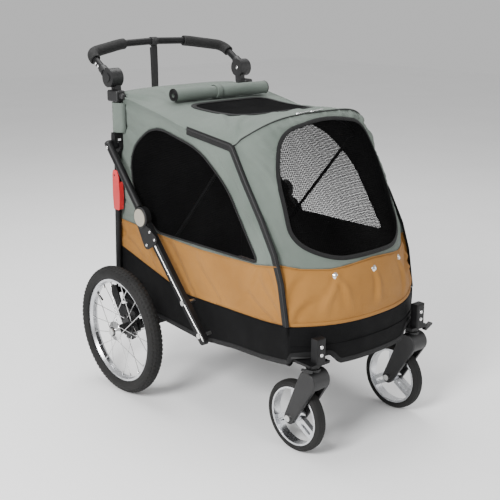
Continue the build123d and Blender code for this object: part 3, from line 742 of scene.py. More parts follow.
SIDE_HOLE = rounded(SIDE_WINDOW, SIDE_WINDOW_RADII, 6.0)
FRONT_HOLE = rounded(FRONT_WINDOW, FRONT_WINDOW_RADII, 6.0)
ROOF_HOLE = rounded(ROOF_WINDOW, [45, 45, 110, 70, 70, 110], 6.0)

folding = []


def on_chassis(*made):
    """Attaches cabin pieces to the chassis and adds them to the folding list."""
    for m in made:
        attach(m, "chassis")
        folding.append(m)


def on_flap(*made):
    """Pieces of the front flap."""
    for m in made:
        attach(m, "front_flap")
        folding.append(m)


def window_net(name, hole, place, thread=1.7):
    """Open mesh cloth: a square net of threads inside the window's outline."""
    outline = np.array(hole, float)
    centre = outline.mean(axis=0)
    outline = centre + (outline - centre) * (1 + NET_GROW / 150.0)
    low, high = outline.min(axis=0), outline.max(axis=0)
    us, vs = (np.arange(low[k], high[k], NET_PITCH) for k in (0, 1))
    grid = np.array([(u, v) for v in vs for u in us])
    ok = inside(grid, outline).reshape(len(vs), len(us))
    index, points, faces, cut = {}, [], [], []
    for r in range(len(vs) - 1):
        for c in range(len(us) - 1):
            corners = [(r, c), (r, c + 1), (r + 1, c + 1), (r + 1, c)]
            if all(ok[k] for k in corners):
                for k in corners:
                    if k not in index:
                        index[k] = len(points)
                        cut.append((us[k[1]], vs[k[0]]))
                        spot, normal = place(us[k[1]], vs[k[0]])
                        points.append(spot + normal * (NET_LIFT * MM))
                faces.append([index[k] for k in corners])
    made = piece(name, points, faces, MESH, "mesh_cloth")
    flat = cut_size(cut, place) + [area_of(made)]
    wire = made.modifiers.new("threads", "WIREFRAME")
    wire.thickness = thread * MM
    wire.use_even_offset = False
    apply_modifiers(made)
    for polygon in made.data.polygons:
        polygon.use_smooth = True
    return made, flat


def loop_on(hole, place):
    """A window's outline on its surface: points and outward normals."""
    pairs = [place(u, v) for u, v in hole]
    return [p for p, _ in pairs], [n for _, n in pairs]


# ---------------------------------------------------------------- side walls

GREY_FOLDS = [
    (338, 700, 262, 640, 10, 3.6), (338, 630, 268, 560, 11, 4.0), (338, 570, 240, 545, 9, 3.0),
    (330, 800, 250, 770, 12, 3.2), (300, 860, 170, 830, 13, 2.6), (-90, 800, -190, 700, 9, 2.6),
    (-215, 720, -330, 560, 10, 3.2), (-250, 660, -350, 530, 9, 2.8), (60, 845, -40, 800, 10, 2.4),
]
TAN_FOLDS = [
    (-396, 376, -330, 470, 10, 4.2), (-398, 400, -352, 500, 9, 3.6), (-380, 372, -250, 440, 11, 3.6),
    (-150, 365, -60, 480, 13, 3.4), (-40, 360, 60, 490, 14, 3.8), (60, 372, 150, 490, 13, 3.8),
    (150, 400, 230, 490, 12, 3.8), (240, 430, 330, 505, 11, 4.0), (338, 440, 270, 500, 10, 3.4),
    (-300, 500, -200, 380, 13, 2.6),
]
for name, s in SIDES.items():
    wall = on_side(s)
    upper = [(345, 738), (311, 738), (311, 872), (303, 872), (303, 895), (230, 882), (118, 860), (-6, 832),
             (-195, 809)] + ZIP_LINE[1:4] + [(-374, 521)] + SIDE_SPLIT[-2::-1]
    upper = evenly(upper, 8.0, closed=True)
    grey, grey_flat = panel(f"side_grey_{name}", upper, wall, GREY, "grey_cloth", holes=[SIDE_HOLE], depth=4.4,
                            seed=3.0 + s, along=(0.8, 1.3), puff=1.2, folds=GREY_FOLDS, most=SIDE_MOST,
                            pitch=7.0)
    lower = SIDE_SPLIT + [(-391.5, 477), (-409, 367)] + [(-316, 358), (4, 348), (51, 354), (345, 427)]
    lower = evenly(lower, 8.0, closed=True)
    tan, tan_flat = panel(f"side_tan_{name}", lower, on_side(s, 0.5), TAN, "tan_cloth", depth=3.6, seed=9.0 + s,
                          along=(0.7, 1.2), puff=2.0, folds=TAN_FOLDS, most=SIDE_MOST, pitch=7.0)
    net, net_flat = window_net(f"side_net_{name}", SIDE_HOLE, on_side(s, -0.2), thread=1.8)
    edge, away = loop_on(SIDE_HOLE, on_side(s, 1.2))
    binding = band(f"side_window_binding_{name}", edge, away, 6, BINDING, "black_cloth", closed=True, crown=1.0)
    row = stitches(f"side_window_stitches_{name}", edge, away, BINDING, "black_cloth", closed=True, shift=5.5 * s)
    seam_path = evenly(SIDE_SPLIT, 6.0)
    seam = pipe(f"side_seam_{name}", [on_side(s, 1.4)(y, z)[0] for y, z in seam_path], 1.5, TAN, "tan_cloth")
    seam_up = stitches(f"side_seam_stitches_{name}", [on_side(s, 1.6)(y, z + 5)[0] for y, z in seam_path],
                       [Vector((s, 0, 0))] * len(seam_path), GREY, "grey_cloth")
    low_path = evenly(SEAM, 6.0)
    low_seam = pipe(f"skirt_seam_{name}", [on_side(s, 1.6)(y, z)[0] for y, z in low_path], 1.7, BLACK_CLOTH,
                    "black_cloth")
    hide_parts(f"side_wall_{name}")
    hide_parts("side_windows")
    on_chassis(grey, tan, net, binding, row, seam, seam_up, low_seam)
    declare(grey, grey_flat)
    declare(tan, tan_flat)
    declare(net, net_flat)

    edge_path = evenly(ROOF_EDGE[:4], 8.0)
    edge_line = [on_side(s, 0.8)(y, z - 1)[0] for y, z in edge_path]
    roof_piping = pipe(f"roof_piping_{name}", edge_line, 2.6, GREY, "grey_cloth")
    edge_rows = [stitches(f"roof_edge_stitches_{name}_{k}", [p + Vector((0, 0, -k * MM)) for p in edge_line],
                          [Vector((s, 0, 0))] * len(edge_line), GREY, "grey_cloth") for k in (8, 14)]
    rows = merge(f"roof_edge_stitches_{name}", edge_rows)
    on_chassis(roof_piping, rows)

    tape_line = rounded(ROOF_EDGE[3:] + ZIP_LINE[1:], 26, 5.0, closed=False)
    tape_points = [on_side(s, 1.3)(y, z)[0] for y, z in tape_line]
    outs = [Vector((s, 0, 0))] * len(tape_line)
    back = band(f"zip_tape_{name}", tape_points, outs, 23, BINDING, "black_cloth", shift=s * 4.0, crown=0.5)
    coil = pipe(f"zip_coil_{name}", [p + Vector((s * 1.2 * MM, 0, 0)) for p in tape_points], 1.9, MOULDED,
                "black_plastic")
    on_chassis(back, coil)
    flap_line = rounded(ZIP_LINE, 26, 5.0, closed=False)
    flap_points = [on_side(s, 0.4)(y - 2.5, z)[0] for y, z in flap_line]
    front = band(f"zip_tape_flap_{name}", flap_points, [Vector((s, -0.8, 0)).normalized()] * len(flap_line), 9,
                 BINDING, "black_cloth", crown=0.8)
    on_flap(front)

# ---------------------------------------------------------------- front flap


def nose_curve(points, step=6.0, lift=0.0):
    """A line of (x, z) points laid on the nose."""
    line = evenly(points, step)
    pairs = [on_nose(x, z) for x, z in line]
    return [p + n * (lift * MM) for p, n in pairs], [n for _, n in pairs]


FRONT_FOLDS = [
    (-228, 800, -200, 690, 9, 4.0), (-205, 835, -178, 790, 8, 4.0), (-170, 868, -150, 845, 7, 3.4),
    (-120, 884, -105, 862, 7, 3.0), (-60, 888, -52, 868, 7, 3.0), (20, 889, 18, 870, 7, 3.0),
    (75, 888, 66, 866, 7, 3.4), (125, 882, 112, 858, 7, 3.6), (175, 862, 160, 838, 8, 4.0),
    (215, 822, 196, 770, 8, 4.0), (232, 780, 214, 660, 9, 3.8), (-238, 640, -214, 540, 9, 3.4),
    (238, 640, 216, 540, 9, 3.4),
]
arch_top = [(x, z - 0.5) for x, _, z in ARCH]
front_upper = evenly(FRONT_SPLIT + [(250.0, 640), (250.0, 740)] + arch_top[::-1] + [(-250.0, 740), (-250.0, 640)],
                     8.0, closed=True)
front_grey, front_grey_flat = panel("front_grey", front_upper, on_nose, GREY, "grey_cloth", holes=[FRONT_HOLE],
                                    depth=8.0, seed=21.0, along=(1.9, 0.55), size=80.0, puff=0.5,
                                    folds=FRONT_FOLDS, pitch=7.0)
FRONT_TAN_FOLDS = [
    (-246, 372, -205, 440, 10, 4.0), (-246, 420, -214, 505, 9, 3.4), (246, 372, 205, 440, 10, 4.0),
    (246, 420, 214, 505, 9, 3.4), (-125, 488, -160, 400, 10, 2.8), (-120, 488, -90, 420, 9, 2.6),
    (0, 488, 14, 410, 10, 2.6), (125, 488, 150, 400, 10, 2.8), (238, 470, 190, 430, 9, 3.4),
]
front_lower = evenly(FRONT_SPLIT + [(250.0, 440), (250.0, 367), (-250.0, 367), (-250.0, 440)], 8.0, closed=True)
front_tan, front_tan_flat = panel("front_tan", front_lower, on_nose, TAN, "tan_cloth", depth=4.2, seed=33.0,
                                  along=(1.1, 0.8), puff=1.0, folds=FRONT_TAN_FOLDS, pitch=7.0)
front_net, front_net_flat = window_net("front_net", FRONT_HOLE, on_nose)
edge, away = loop_on(FRONT_HOLE, on_nose)
edge = [p + n * 0.0012 for p, n in zip(edge, away)]
front_binding = band("front_window_binding", edge, away, 11, BINDING, "black_cloth", closed=True, crown=1.4)
front_row = stitches("front_window_stitches", edge, away, GREY, "grey_cloth", closed=True, shift=-10.0)
seam_points, seam_normals = nose_curve(FRONT_SPLIT, 6.0, 1.2)
front_seam = pipe("front_seam", seam_points, 1.5, TAN, "tan_cloth")
hem_points, hem_normals = nose_curve([(-246, 371), (246, 371)], 6.0, 1.0)
front_hem = band("front_flap_hem", hem_points, hem_normals, 10, TAN, "tan_cloth", crown=1.0)
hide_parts("front_flap")
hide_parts("front_window")
on_flap(front_grey, front_tan, front_net, front_binding, front_row, front_seam, front_hem)
declare(front_grey, front_grey_flat)
declare(front_tan, front_tan_flat)
declare(front_net, front_net_flat)

snap_rings = []
for x, z in ((-125, 492), (0, 492), (125, 492)):
    spot, normal = on_nose(x, z)
    snap_rings.append(turned("snap", [(0, 5.2), (3.5, 4.9), (5.6, 3.8), (6.6, 2.2), (8.6, 1.9), (9.4, 0.6), (9.2, -1)],
                             spot, normal, CHROME, "snap_metal"))
snaps = merge("snap_caps", snap_rings)
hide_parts("flap_snaps")
on_flap(snaps)

# ---------------------------------------------------------------- roof

ROOF_FOLDS = [
    (-240, -190, -150, -120, 12, 3.4), (-235, -150, -150, -40, 12, 3.0), (240, -190, 150, -120, 12, 3.4),
    (235, -150, 150, -40, 12, 3.0), (-240, 330, -190, 200, 13, 3.2), (240, 330, 190, 200, 13, 3.2),
    (-90, 335, -110, 200, 13, 2.6), (90, 335, 110, 200, 13, 2.6), (0, -255, 0, -160, 12, 2.6),
    (-90, -245, -80, -165, 11, 2.6), (90, -245, 80, -165, 11, 2.6),
]
roof_line = [(x, y + 1.0) for x, y, _ in ARCH]
roof_outline = evenly(roof_line + [(250, 302), (236, 303), (236, 345), (-236, 345), (-236, 303), (-250, 302)], 8.0,
                      closed=True)
roof, roof_flat = panel("roof_cloth", roof_outline, on_roof, GREY, "grey_cloth", holes=[ROOF_HOLE], depth=5.5,
                        seed=41.0, along=(0.8, 1.2), puff=0.5, folds=ROOF_FOLDS)
roof_net, roof_net_flat = window_net("roof_net", ROOF_HOLE, on_roof)
edge, away = loop_on(ROOF_HOLE, on_roof)
edge = [p + n * 0.0012 for p, n in zip(edge, away)]
roof_binding = band("roof_window_binding", edge, away, 15, BINDING, "black_cloth", closed=True, crown=1.2)
arch_points, arch_normals = [], []
for x, y, z in ARCH:
    spot, normal = on_roof(x, y + 2)
    arch_points.append(spot + normal * 0.0012)
    arch_normals.append(normal)
arch_tape = band("arch_zip_tape", arch_points, arch_normals, 6, GREY, "grey_cloth", crown=1.4)
arch_coil = pipe("arch_zip_coil", [p + Vector((0, -0.0035, -0.0012)) for p in arch_points], 1.5, MOULDED,
                 "black_plastic")
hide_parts("roof")
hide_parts("roof_window")
on_chassis(roof, roof_net, roof_binding, arch_tape, arch_coil)
declare(roof, roof_flat)
declare(roof_net, roof_net_flat)


def zip_pull(name, spot, normal, down):
    """A slider with its hanging pull tab."""
    spot, normal, down = Vector(spot), Vector(normal).normalized(), Vector(down).normalized()
    side = normal.cross(down).normalized()
    parts = []
    for start, end, width, height in ((-7, 7, 10, 5.0), (5, 42, 7, 2.4)):
        ring = []
        for k in range(13):
            t = k / 12
            fat = math.sin(math.pi * min(1, max(0, t * 0.86 + 0.07))) ** 0.4
            centre = spot + down * ((start + (end - start) * t) * MM) + normal * 0.003
            ring.append((centre, width * fat / 2, height * fat / 2))
        points, faces = [], []
        for centre, half, tall in ring:
            for a in range(10):
                angle = 2 * math.pi * a / 10
                points.append(centre + side * (math.cos(angle) * half * MM) + normal * (math.sin(angle) * tall * MM))
        for i in range(12):
            faces += [(i * 10 + a, i * 10 + (a + 1) % 10, (i + 1) * 10 + (a + 1) % 10, (i + 1) * 10 + a)
                      for a in range(10)]
        faces += [tuple(range(10))[::-1], tuple(120 + a for a in range(10))]
        parts.append(outward(piece(name, points, faces, CHROME, "snap_metal")))
    return merge(name, parts)


pulls = []
for x in (-78, -26):
    y = float(np.interp(x, ARCH_X, arch_raw[:, 0]))
    spot, normal = on_roof(x, y + 2)
    pulls.append(zip_pull(f"zip_pull_{x + 40}", spot, normal, (1, -0.05, 0.10)))
on_chassis(merge("crown_zip_pulls", pulls))


# ---------------------------------------------------------------- roll, skirt and rear wall


def rolled_flap():
    """The roof's cover, rolled up: a spiral of cloth along the back of the opening."""
    rows, columns = 110, 60
    points, faces, smooth = [], [], []
    for j in range(columns + 1):
        x = -ROLL_HALF + 2 * ROLL_HALF * j / columns
        lean = 1.0 + 0.018 * noise.noise(Vector((x / 40, 1.0, 0)))
        pinch = 1.0 - 0.10 * math.exp(-((x + 15) / 22.0) ** 2)
        smooth.append([])
        for i in range(rows + 1):
            t = i / rows
            angle = t * 2 * math.pi * ROLL_TURNS + ROLL_PHASE
            even = ROLL_START + ROLL_GROWTH * t
            smooth[-1].append(Vector((x, even * math.cos(angle), even * math.sin(angle))) * MM)
            radius = even * lean * pinch
            radius += 0.7 * noise.noise(Vector((x / 22, angle * 0.8, 2.0))) * t
            lift = 0.0 if radius * math.sin(angle) > -19 else 0.6
            points.append(Vector((x, ROLL_CENTRE[0] + radius * math.cos(angle) * 1.04 - 0.06 * x * 0.5,
                                  ROLL_CENTRE[1] + radius * math.sin(angle) * 0.97 + lift)) * MM)
    step = rows + 1
    for j in range(columns):
        faces += [(j * step + i, j * step + i + 1, (j + 1) * step + i + 1, (j + 1) * step + i) for i in range(rows)]
    made = piece("roof_roll", points, faces, GREY, "grey_cloth")
    solid(made, 1.3 * MM, 0.0)
    return made, grid_size(smooth, faces)


roll, roll_flat = rolled_flap()
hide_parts("roof_flap_roll")
loop = [Vector((-0.015, (150.5 + 20.6 * math.cos(a)) * MM, (905.8 + 19.6 * math.sin(a)) * MM))
        for a in np.linspace(0, 2 * math.pi, 49)[:-1]]
loop_out = [(p - Vector((-0.015, 0.1505, 0.9058))).normalized() for p in loop]
roll_strap = band("roll_strap", loop, loop_out, 22, GREY, "grey_cloth", closed=True, crown=0.5, thick=1.6, lift=0.3)
roll_ends = []
for end in (-1, 1):
    spiral = []
    for i in range(84):
        angle = i / 83 * 2 * math.pi * ROLL_TURNS + ROLL_PHASE
        radius = ROLL_START + ROLL_GROWTH * i / 83
        spiral.append(Vector((end * 174, ROLL_CENTRE[0] + radius * math.cos(angle) * 1.04 - 0.03 * end * 174,
                              ROLL_CENTRE[1] + radius * math.sin(angle) * 0.97)) * MM)
    roll_ends.append(pipe("roll_end", spiral, 1.5, BINDING, "black_cloth", sides=6))
roll_edge = merge("roll_end_binding", roll_ends)
on_chassis(roll, roll_strap, roll_edge)
declare(roll, roll_flat)


def nose_y(x, z):
    """Distance back of the skirt's front in mm, below the flap."""
    t = (z - 200) / 162
    side, middle = -424 + 12 * t, -499.5 + 2 * t
    return middle + (side - middle) * (abs(x) / 250) ** 2.5


def nose_out(x):
    """Outward direction of the skirt's front."""
    return Vector((2.5 * 75 / 250 * (abs(x) / 250) ** 1.5 * (1 if x > 0 else -1), -1, 0)).normalized()


def skirt():
    """The black lower band, one cloth round the sides and the nose."""
    plan = [("side", -1, y) for y in np.arange(345, -418, -8.0)]
    plan += [("nose", 0, x) for x in np.linspace(-250, 250, 71)]
    plan += [("side", 1, y) for y in np.arange(-418, 346, 8.0)]
    low_y = [345, 230, 120, -50, -203, -320, -400, -425]
    low_z = [242, 240, 236, 226, 244, 250, 260, 266]
    top_y, top_z = [p[0] for p in SEAM][::-1], [p[1] for p in SEAM][::-1]
    rows = 18
    points, faces, columns = [], [], []
    for kind, s, v in plan:
        columns.append([])
        if kind == "side":
            top = float(np.interp(v, top_y, top_z))
            bottom = float(np.interp(-v, [-y for y in low_y], low_z))
        else:
            top = 366.0
            bottom = 284.0 - 28.0 * (1 - smoothstep((abs(v) - 120) / 36))
            bottom = bottom if abs(v) < 243 else 266.0 + 18.0 * (250 - abs(v)) / 7
        for r in range(rows + 1):
            t = r / rows
            z = bottom + (top - bottom) * t
            fade = math.sin(math.pi * min(1.0, max(0.0, t * 0.92 + 0.08)))
            wave = 2.2 * crease(v + s * 900, z, 55.0, (1.0, 0.8), 85) * fade
            if kind == "side":
                points.append(Vector((s * (250.4 + wave), v, z)) * MM)
                columns[-1].append(Vector((s * 250.4, v, z)) * MM)
            else:
                out = nose_out(v)
                points.append((Vector((v, nose_y(v, z), z)) + out * (0.4 + wave)) * MM)
                columns[-1].append((Vector((v, nose_y(v, z), z)) + out * 0.4) * MM)
    step = rows + 1
    for j in range(len(plan) - 1):
        faces += [(j * step + i, j * step + i + 1, (j + 1) * step + i + 1, (j + 1) * step + i) for i in range(rows)]
    made = piece("skirt_cloth", points, faces, BLACK_CLOTH, "black_cloth")
    outward(made)
    hem = [points[j * step] for j in range(len(plan))]
    outs = [Vector((s, 0, 0)) if kind == "side" else nose_out(v) for kind, s, v in plan]
    solid(made, 1.2 * MM, 0.0)
    return made, grid_size(columns, faces), hem, outs


skirt_cloth, skirt_flat, hem_line, hem_out = skirt()
skirt_seam_line = [Vector((x, nose_y(x, 313) - 2.2, 313)) * MM for x in np.linspace(-246, 246, 60)]
skirt_front_seam = pipe("skirt_front_seam", skirt_seam_line, 1.5, BLACK_CLOTH, "black_cloth")
on_chassis(skirt_front_seam)
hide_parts("skirt")
hem = band("skirt_hem", [p + Vector((0, 0, 0.007)) + n * 0.001 for p, n in zip(hem_line, hem_out)], hem_out, 14,
           BINDING, "black_cloth", crown=0.8)
on_chassis(skirt_cloth, hem)
declare(skirt_cloth, skirt_flat)


def on_back(x, z):
    """Places (x, z) in mm on the rear wall."""
    return Vector((x, 345.2, z)) * MM, Vector((0, 1, 0))


back_top = [(x, roof_up(x, 344) - 0.5) for x in np.linspace(235, -235, 25)]
back_upper = evenly([(-247, 516), (247, 516), (247, 738), (235, 738)] + back_top + [(-235, 738), (-247, 738)], 9.0,
                    closed=True)
rear_grey, rear_grey_flat = panel("rear_grey", back_upper, on_back, GREY, "grey_cloth", depth=3.5, seed=61.0,
                                  along=(1.2, 0.7), puff=2.0, pitch=10.0)
back_lower = evenly([(-247, 429), (247, 429), (247, 516), (-247, 516)], 9.0, closed=True)
rear_tan, rear_tan_flat = panel("rear_tan", back_lower, on_back, TAN, "tan_cloth", depth=2.4, seed=71.0, puff=1.5,
                                pitch=10.0)
back_black = evenly([(-247, 245), (247, 245), (247, 429), (-247, 429)], 9.0, closed=True)
rear_black, rear_black_flat = panel("rear_black", back_black, on_back, BLACK_CLOTH, "black_cloth", depth=2.4,
                                    seed=77.0, puff=1.0, pitch=10.0)
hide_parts("rear_wall")
seams = [pipe(f"rear_seam_{k}", [(x * MM, 0.3462, z * MM) for x in range(-247, 248, 13)], 1.6, look, slot)
         for k, z, look, slot in ((0, 516, TAN, "tan_cloth"), (1, 429, BLACK_CLOTH, "black_cloth"))]
corner_pipes = [pipe("corner", [(s * 0.2488, 0.3448, z * MM) for z in range(246, 737, 10)], 2.2, BINDING,
                     "black_cloth") for s in SIDES.values()]
corner = merge("rear_corner_piping", corner_pipes)
on_chassis(rear_grey, rear_tan, rear_black, corner, *seams)
declare(rear_grey, rear_grey_flat)
declare(rear_tan, rear_tan_flat)
declare(rear_black, rear_black_flat)

for made in folding + [nodes["canopy_bow"]]:
    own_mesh(made)

# ---------------------------------------------------------------- floor mat


def shell_of(node, name, inset, voxel):
    """A soft copy of a CAD solid, pulled in along its normals and remeshed."""
    data = nodes[node].data.copy()
    made = bpy.data.objects.new(name, data)
    scene.collection.objects.link(made)
    made.data.materials.clear()
    remesh = made.modifiers.new("remesh", "REMESH")
    remesh.mode = "VOXEL"
    remesh.voxel_size = voxel
    apply_modifiers(made)
    for vertex, normal in zip(made.data.vertices, [v.normal.copy() for v in made.data.vertices]):
        vertex.co -= normal * inset
    return made


mat = shell_of("floor_mat", "floor_mat_cushion", 0.0035, 0.006)
mat.data.materials.append(MAT_CLOTH)
rest = np.array([v.co for v in mat.data.vertices])
swell = mat.modifiers.new("cloth", "CLOTH")
settings = swell.settings
settings.use_pressure = True
settings.uniform_pressure_force = 4.0
settings.effector_weights.gravity = 0.0
settings.quality = 5
swell.collision_settings.use_collision = False
for step in range(1, 21):
    scene.frame_set(step)
swollen = bpy.data.meshes.new_from_object(mat.evaluated_get(bpy.context.evaluated_depsgraph_get()))
moved = np.array([v.co for v in swollen.vertices]) - rest
mat.modifiers.clear()
bpy.data.meshes.remove(swollen)
length = np.maximum(np.linalg.norm(moved, axis=1), 1e-9)
moved *= np.minimum(1.0, 0.0045 / length)[:, None]
for vertex, shift in zip(mat.data.vertices, moved):
    vertex.co += Vector(shift)
scene.frame_set(1)
for vertex in mat.data.vertices:
    if vertex.co.z > 0.300:
        channel = min(abs((vertex.co.x + 0.5) % 0.117 - 0.0585), abs((vertex.co.y + 0.5) % 0.15 - 0.075))
        vertex.co.z -= 0.0045 * math.exp(-(channel / 0.006) ** 2)
        vertex.co.z = min(vertex.co.z, 0.3115)
    vertex.co.z = max(vertex.co.z, 0.2873)
mat.data.update()
for polygon in mat.data.polygons:
    polygon.use_smooth = True
soften = mat.modifiers.new("smooth", "SUBSURF")
soften.levels = 1
soften.render_levels = 1
apply_modifiers(mat)
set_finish(mat, "mat_cloth")
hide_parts("floor_mat")
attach(mat, "chassis")

# ---------------------------------------------------------------- sleeves and handle

ring = [(252.4, 290), (260.5, 307)]
ring += [(253.6 + 16.2 * math.cos(a), 328 + 16.2 * math.sin(a)) for a in np.radians(np.linspace(-21, 257, 30))]
ring += [(251.6, 311), (251.4, 300)]
for name, s in SIDES.items():
    points, faces = [], []
    rows, around = 36, len(ring)
    for i in range(rows + 1):
        z = 787 + (876 - 787) * i / rows
        for k, (x, y) in enumerate(ring):
            fold = noise.noise(Vector((x / 12, y / 12, z / 9.0))) if 2 <= k < 32 else 0.0
            grow = 1.0 + 0.05 * fold
            slant = max(0.0, (800 - z) / 13) * max(0.0, 318 - y) * 0.5
            points.append(Vector((s * (253.6 + (x - 253.6) * grow), 328 + (y - 328) * grow + slant * 0.3, z)) * MM)
    for i in range(rows):
        faces += [(i * around + k, i * around + (k + 1) % around, (i + 1) * around + (k + 1) % around,
                   (i + 1) * around + k) for k in range(around)]
    sleeve = piece(f"sleeve_{name}", points, faces, GREY, "grey_cloth")
    solid(sleeve, 1.0 * MM, 0.0)
    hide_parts("upright_sleeves")
    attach(sleeve, "push_frame")

lean = math.radians(32.1)
PIVOT = Vector((0, 346.7, 948.0))


def on_handle(x, r, lift=0.0):
    """A point of the handle's leaning plane, in metres."""
    return Vector((x, PIVOT.y + r * math.cos(lean) - lift * math.sin(lean),
                    PIVOT.z + r * math.sin(lean) + lift * math.cos(lean))) * MM


def foam_grips():
    """Foam sleeves on both bends of the handle, with a raised collar at each end."""
    data = nodes["handle_grips"].data
    made = bpy.data.objects.new("foam_grips", data.copy())
    scene.collection.objects.link(made)
    remesh = made.modifiers.new("remesh", "REMESH")
    remesh.mode = "VOXEL"
    remesh.voxel_size = 0.0022
    apply_modifiers(made)
    made.data.materials.clear()
    made.data.materials.append(FOAM)
    for vertex, normal in zip(made.data.vertices, [v.normal.copy() for v in made.data.vertices]):
        vertex.co += normal * (0.00035 * noise.noise(vertex.co * 160))
    for polygon in made.data.polygons:
        polygon.use_smooth = True
    return made


grips = foam_grips()
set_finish(grips, "grip_foam")
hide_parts("handle_grips")
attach(grips, "handle")

strap_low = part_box("wrist_strap")[0]
bar_y, bar_z = (PIVOT.y + 168.2 * math.cos(lean)), (PIVOT.z + 168.2 * math.sin(lean))
loop = [(bar_y + 12.6 * math.cos(a), bar_z + 12.6 * math.sin(a)) for a in np.radians(np.linspace(-80, 260, 40))]
drop = bar_z - strap_low[2] / MM - 4
tail_low = bar_z - drop
down = [(bar_y - 1.6 - 2.2 * (1 - t), bar_z - 12.4 - (drop - 12.4) * t) for t in np.linspace(0.04, 0.98, 40)]
turn = [(bar_y + 1.4 * math.cos(math.radians(a)), tail_low + 1.4 * math.sin(math.radians(a)))
        for a in np.linspace(180, 360, 9)]
up = [(bar_y + 1.6 + 2.2 * (1 - t), bar_z - 12.4 - (drop - 12.4) * t) for t in np.linspace(0.98, 0.04, 40)]
strap_line = evenly(loop + down + turn + up, 3.0)
strap_path = np.array([(2.2 * math.sin((bar_z - z) / 190 * 2.4) * (z < bar_z - 14), y, z)
                       for y, z in strap_line]) * MM
tangent = normals_along(strap_path, False)
strap_normals = np.cross(tangent, np.array([1.0, 0.0, 0.0]))
strap_normals /= np.linalg.norm(strap_normals, axis=1)[:, None]
strap = band("wrist_webbing", strap_path, strap_normals, 24, WEBBING, "webbing", crown=0.25, thick=1.3)
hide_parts("wrist_strap")
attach(strap, "strap")

# ---------------------------------------------------------------- rivets, caps and trims

DOME = [(0, 2.4), (2.4, 2.2), (4.2, 1.5), (5.3, 0.4), (5.4, -0.6)]
for name, s in SIDES.items():
    out = (s, 0, 0)
    rivets = [turned("rivet", [(r * 0.85, h * 0.8) for r, h in DOME], (s * 0.2962, y * MM, z * MM), out, CHROME,
                     "silver_metal", 24) for y, z in ((124, 521), (101, 502), (140, 478))]
    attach(merge(f"hub_rivets_{name}", rivets), "chassis")
    bolts = [turned("neck_bolt", [(0, 2.6), (3.6, 2.4), (5.2, 1.2), (5.4, -0.6)], (s * 0.2016, -0.4921, z * MM),
                    (0, -1, 0), CHROME, "silver_metal", 20) for z in (300, 322)]
    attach(merge(f"caster_neck_bolts_{name}", bolts), "chassis")
    cap = turned(f"hub_ring_{name}", [(26.2, 0), (26.4, 3.6), (27.2, 4.6), (29.6, 4.4), (31.2, 2.8), (31.4, 0)],
                 (s * 0.2950, 0.1665, 0.557), out, MOULDED, "black_plastic", 64)
    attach(cap, "chassis")
    strip_line = evenly([(-116, 252), (-60, 307), (0, 371), (64, 440), (112, 493)], 6.0)
    strip = pipe(f"brace_trim_{name}", [(s * 0.2934, (y - 4.0) * MM, (z - 1.0) * MM) for y, z in strip_line], 2.2,
                 SILVER, "silver_metal", sides=10)
    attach(strip, "chassis")
    bar_cap = turned(f"bar_cap_{name}", [(0, 5.0), (6.0, 4.6), (10.2, 3.0), (12.6, 0.6), (12.9, -5.0), (12.2, -6.5)],
                     (s * 0.2855, 0.3378, 0.7560), (0, 170.5, 198), MOULDED, "black_plastic", 32)
    bar_rivet = turned(f"bar_rivet_{name}", DOME, (s * 0.2975, 0.3290, 0.7440), out, CHROME, "silver_metal", 24)
    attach(bar_cap, "push_frame")
    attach(bar_rivet, "push_frame")
    studs = [turned("stud", [(r * 0.8, h * 0.8) for r, h in DOME], on_handle(s * 274.6, r), out, CHROME,
                    "silver_metal", 20) for r in (58, 72)]
    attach(merge(f"arm_rivets_{name}", studs), "handle")
    dot = turned(f"pivot_dot_{name}", [(0, 1.4), (3.0, 1.2), (5.0, 0.4), (5.2, -0.8)],
                 (s * 0.2340, PIVOT.y * MM, PIVOT.z * MM), (-s, 0, 0), CHROME, "silver_metal", 24)
    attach(dot, "push_frame")
    end = turned(f"socket_end_{name}", [(0, 18), (6.5, 17.4), (8.6, 14.6), (9.0, 0), (8.8, -4)],
                 (s * 0.2545, 0.3070, 0.8960), (0, -1, 0), MOULDED, "black_plastic", 32)
    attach(end, "push_frame")

# ---------------------------------------------------------------- wheels


def tread(name, centre, radius, half, rows, count, size, look, slot):
    """Raised blocks round a tyre: rows are (offset across, turn of a half pitch, drop in mm)."""
    points, faces = [], []
    for across, phase, drop in rows:
        for k in range(count):
            a = 2 * math.pi * (k + phase) / count
            radial = Vector((0, math.cos(a), math.sin(a)))
            tangent = Vector((0, -math.sin(a), math.cos(a)))
            lean = across / half * 0.55
            up = (radial * math.cos(lean) + Vector((1, 0, 0)) * math.sin(lean)).normalized()
            side = (Vector((1, 0, 0)) * math.cos(lean) - radial * math.sin(lean)).normalized()
            foot = Vector(centre) + radial * ((radius - drop) * MM) + Vector((across * MM, 0, 0))
            b = len(points)
            for height, shrink in ((-1.8, 1.0), (1.2, 0.9), (1.6, 0.72)):
                for u, v in ((-1, -1), (1, -1), (1, 1), (-1, 1)):
                    points.append(foot + side * (u * size[0] / 2 * shrink * MM)
                                  + tangent * (v * size[1] / 2 * shrink * MM) + up * (height * MM))
            for layer in (0, 4):
                faces += [(b + layer + q, b + layer + (q + 1) % 4, b + layer + 4 + (q + 1) % 4, b + layer + 4 + q)
                          for q in range(4)]
            faces += [(b + 8, b + 9, b + 10, b + 11), (b + 3, b + 2, b + 1, b)]
    return outward(piece(name, points, faces, look, slot, smooth=False))


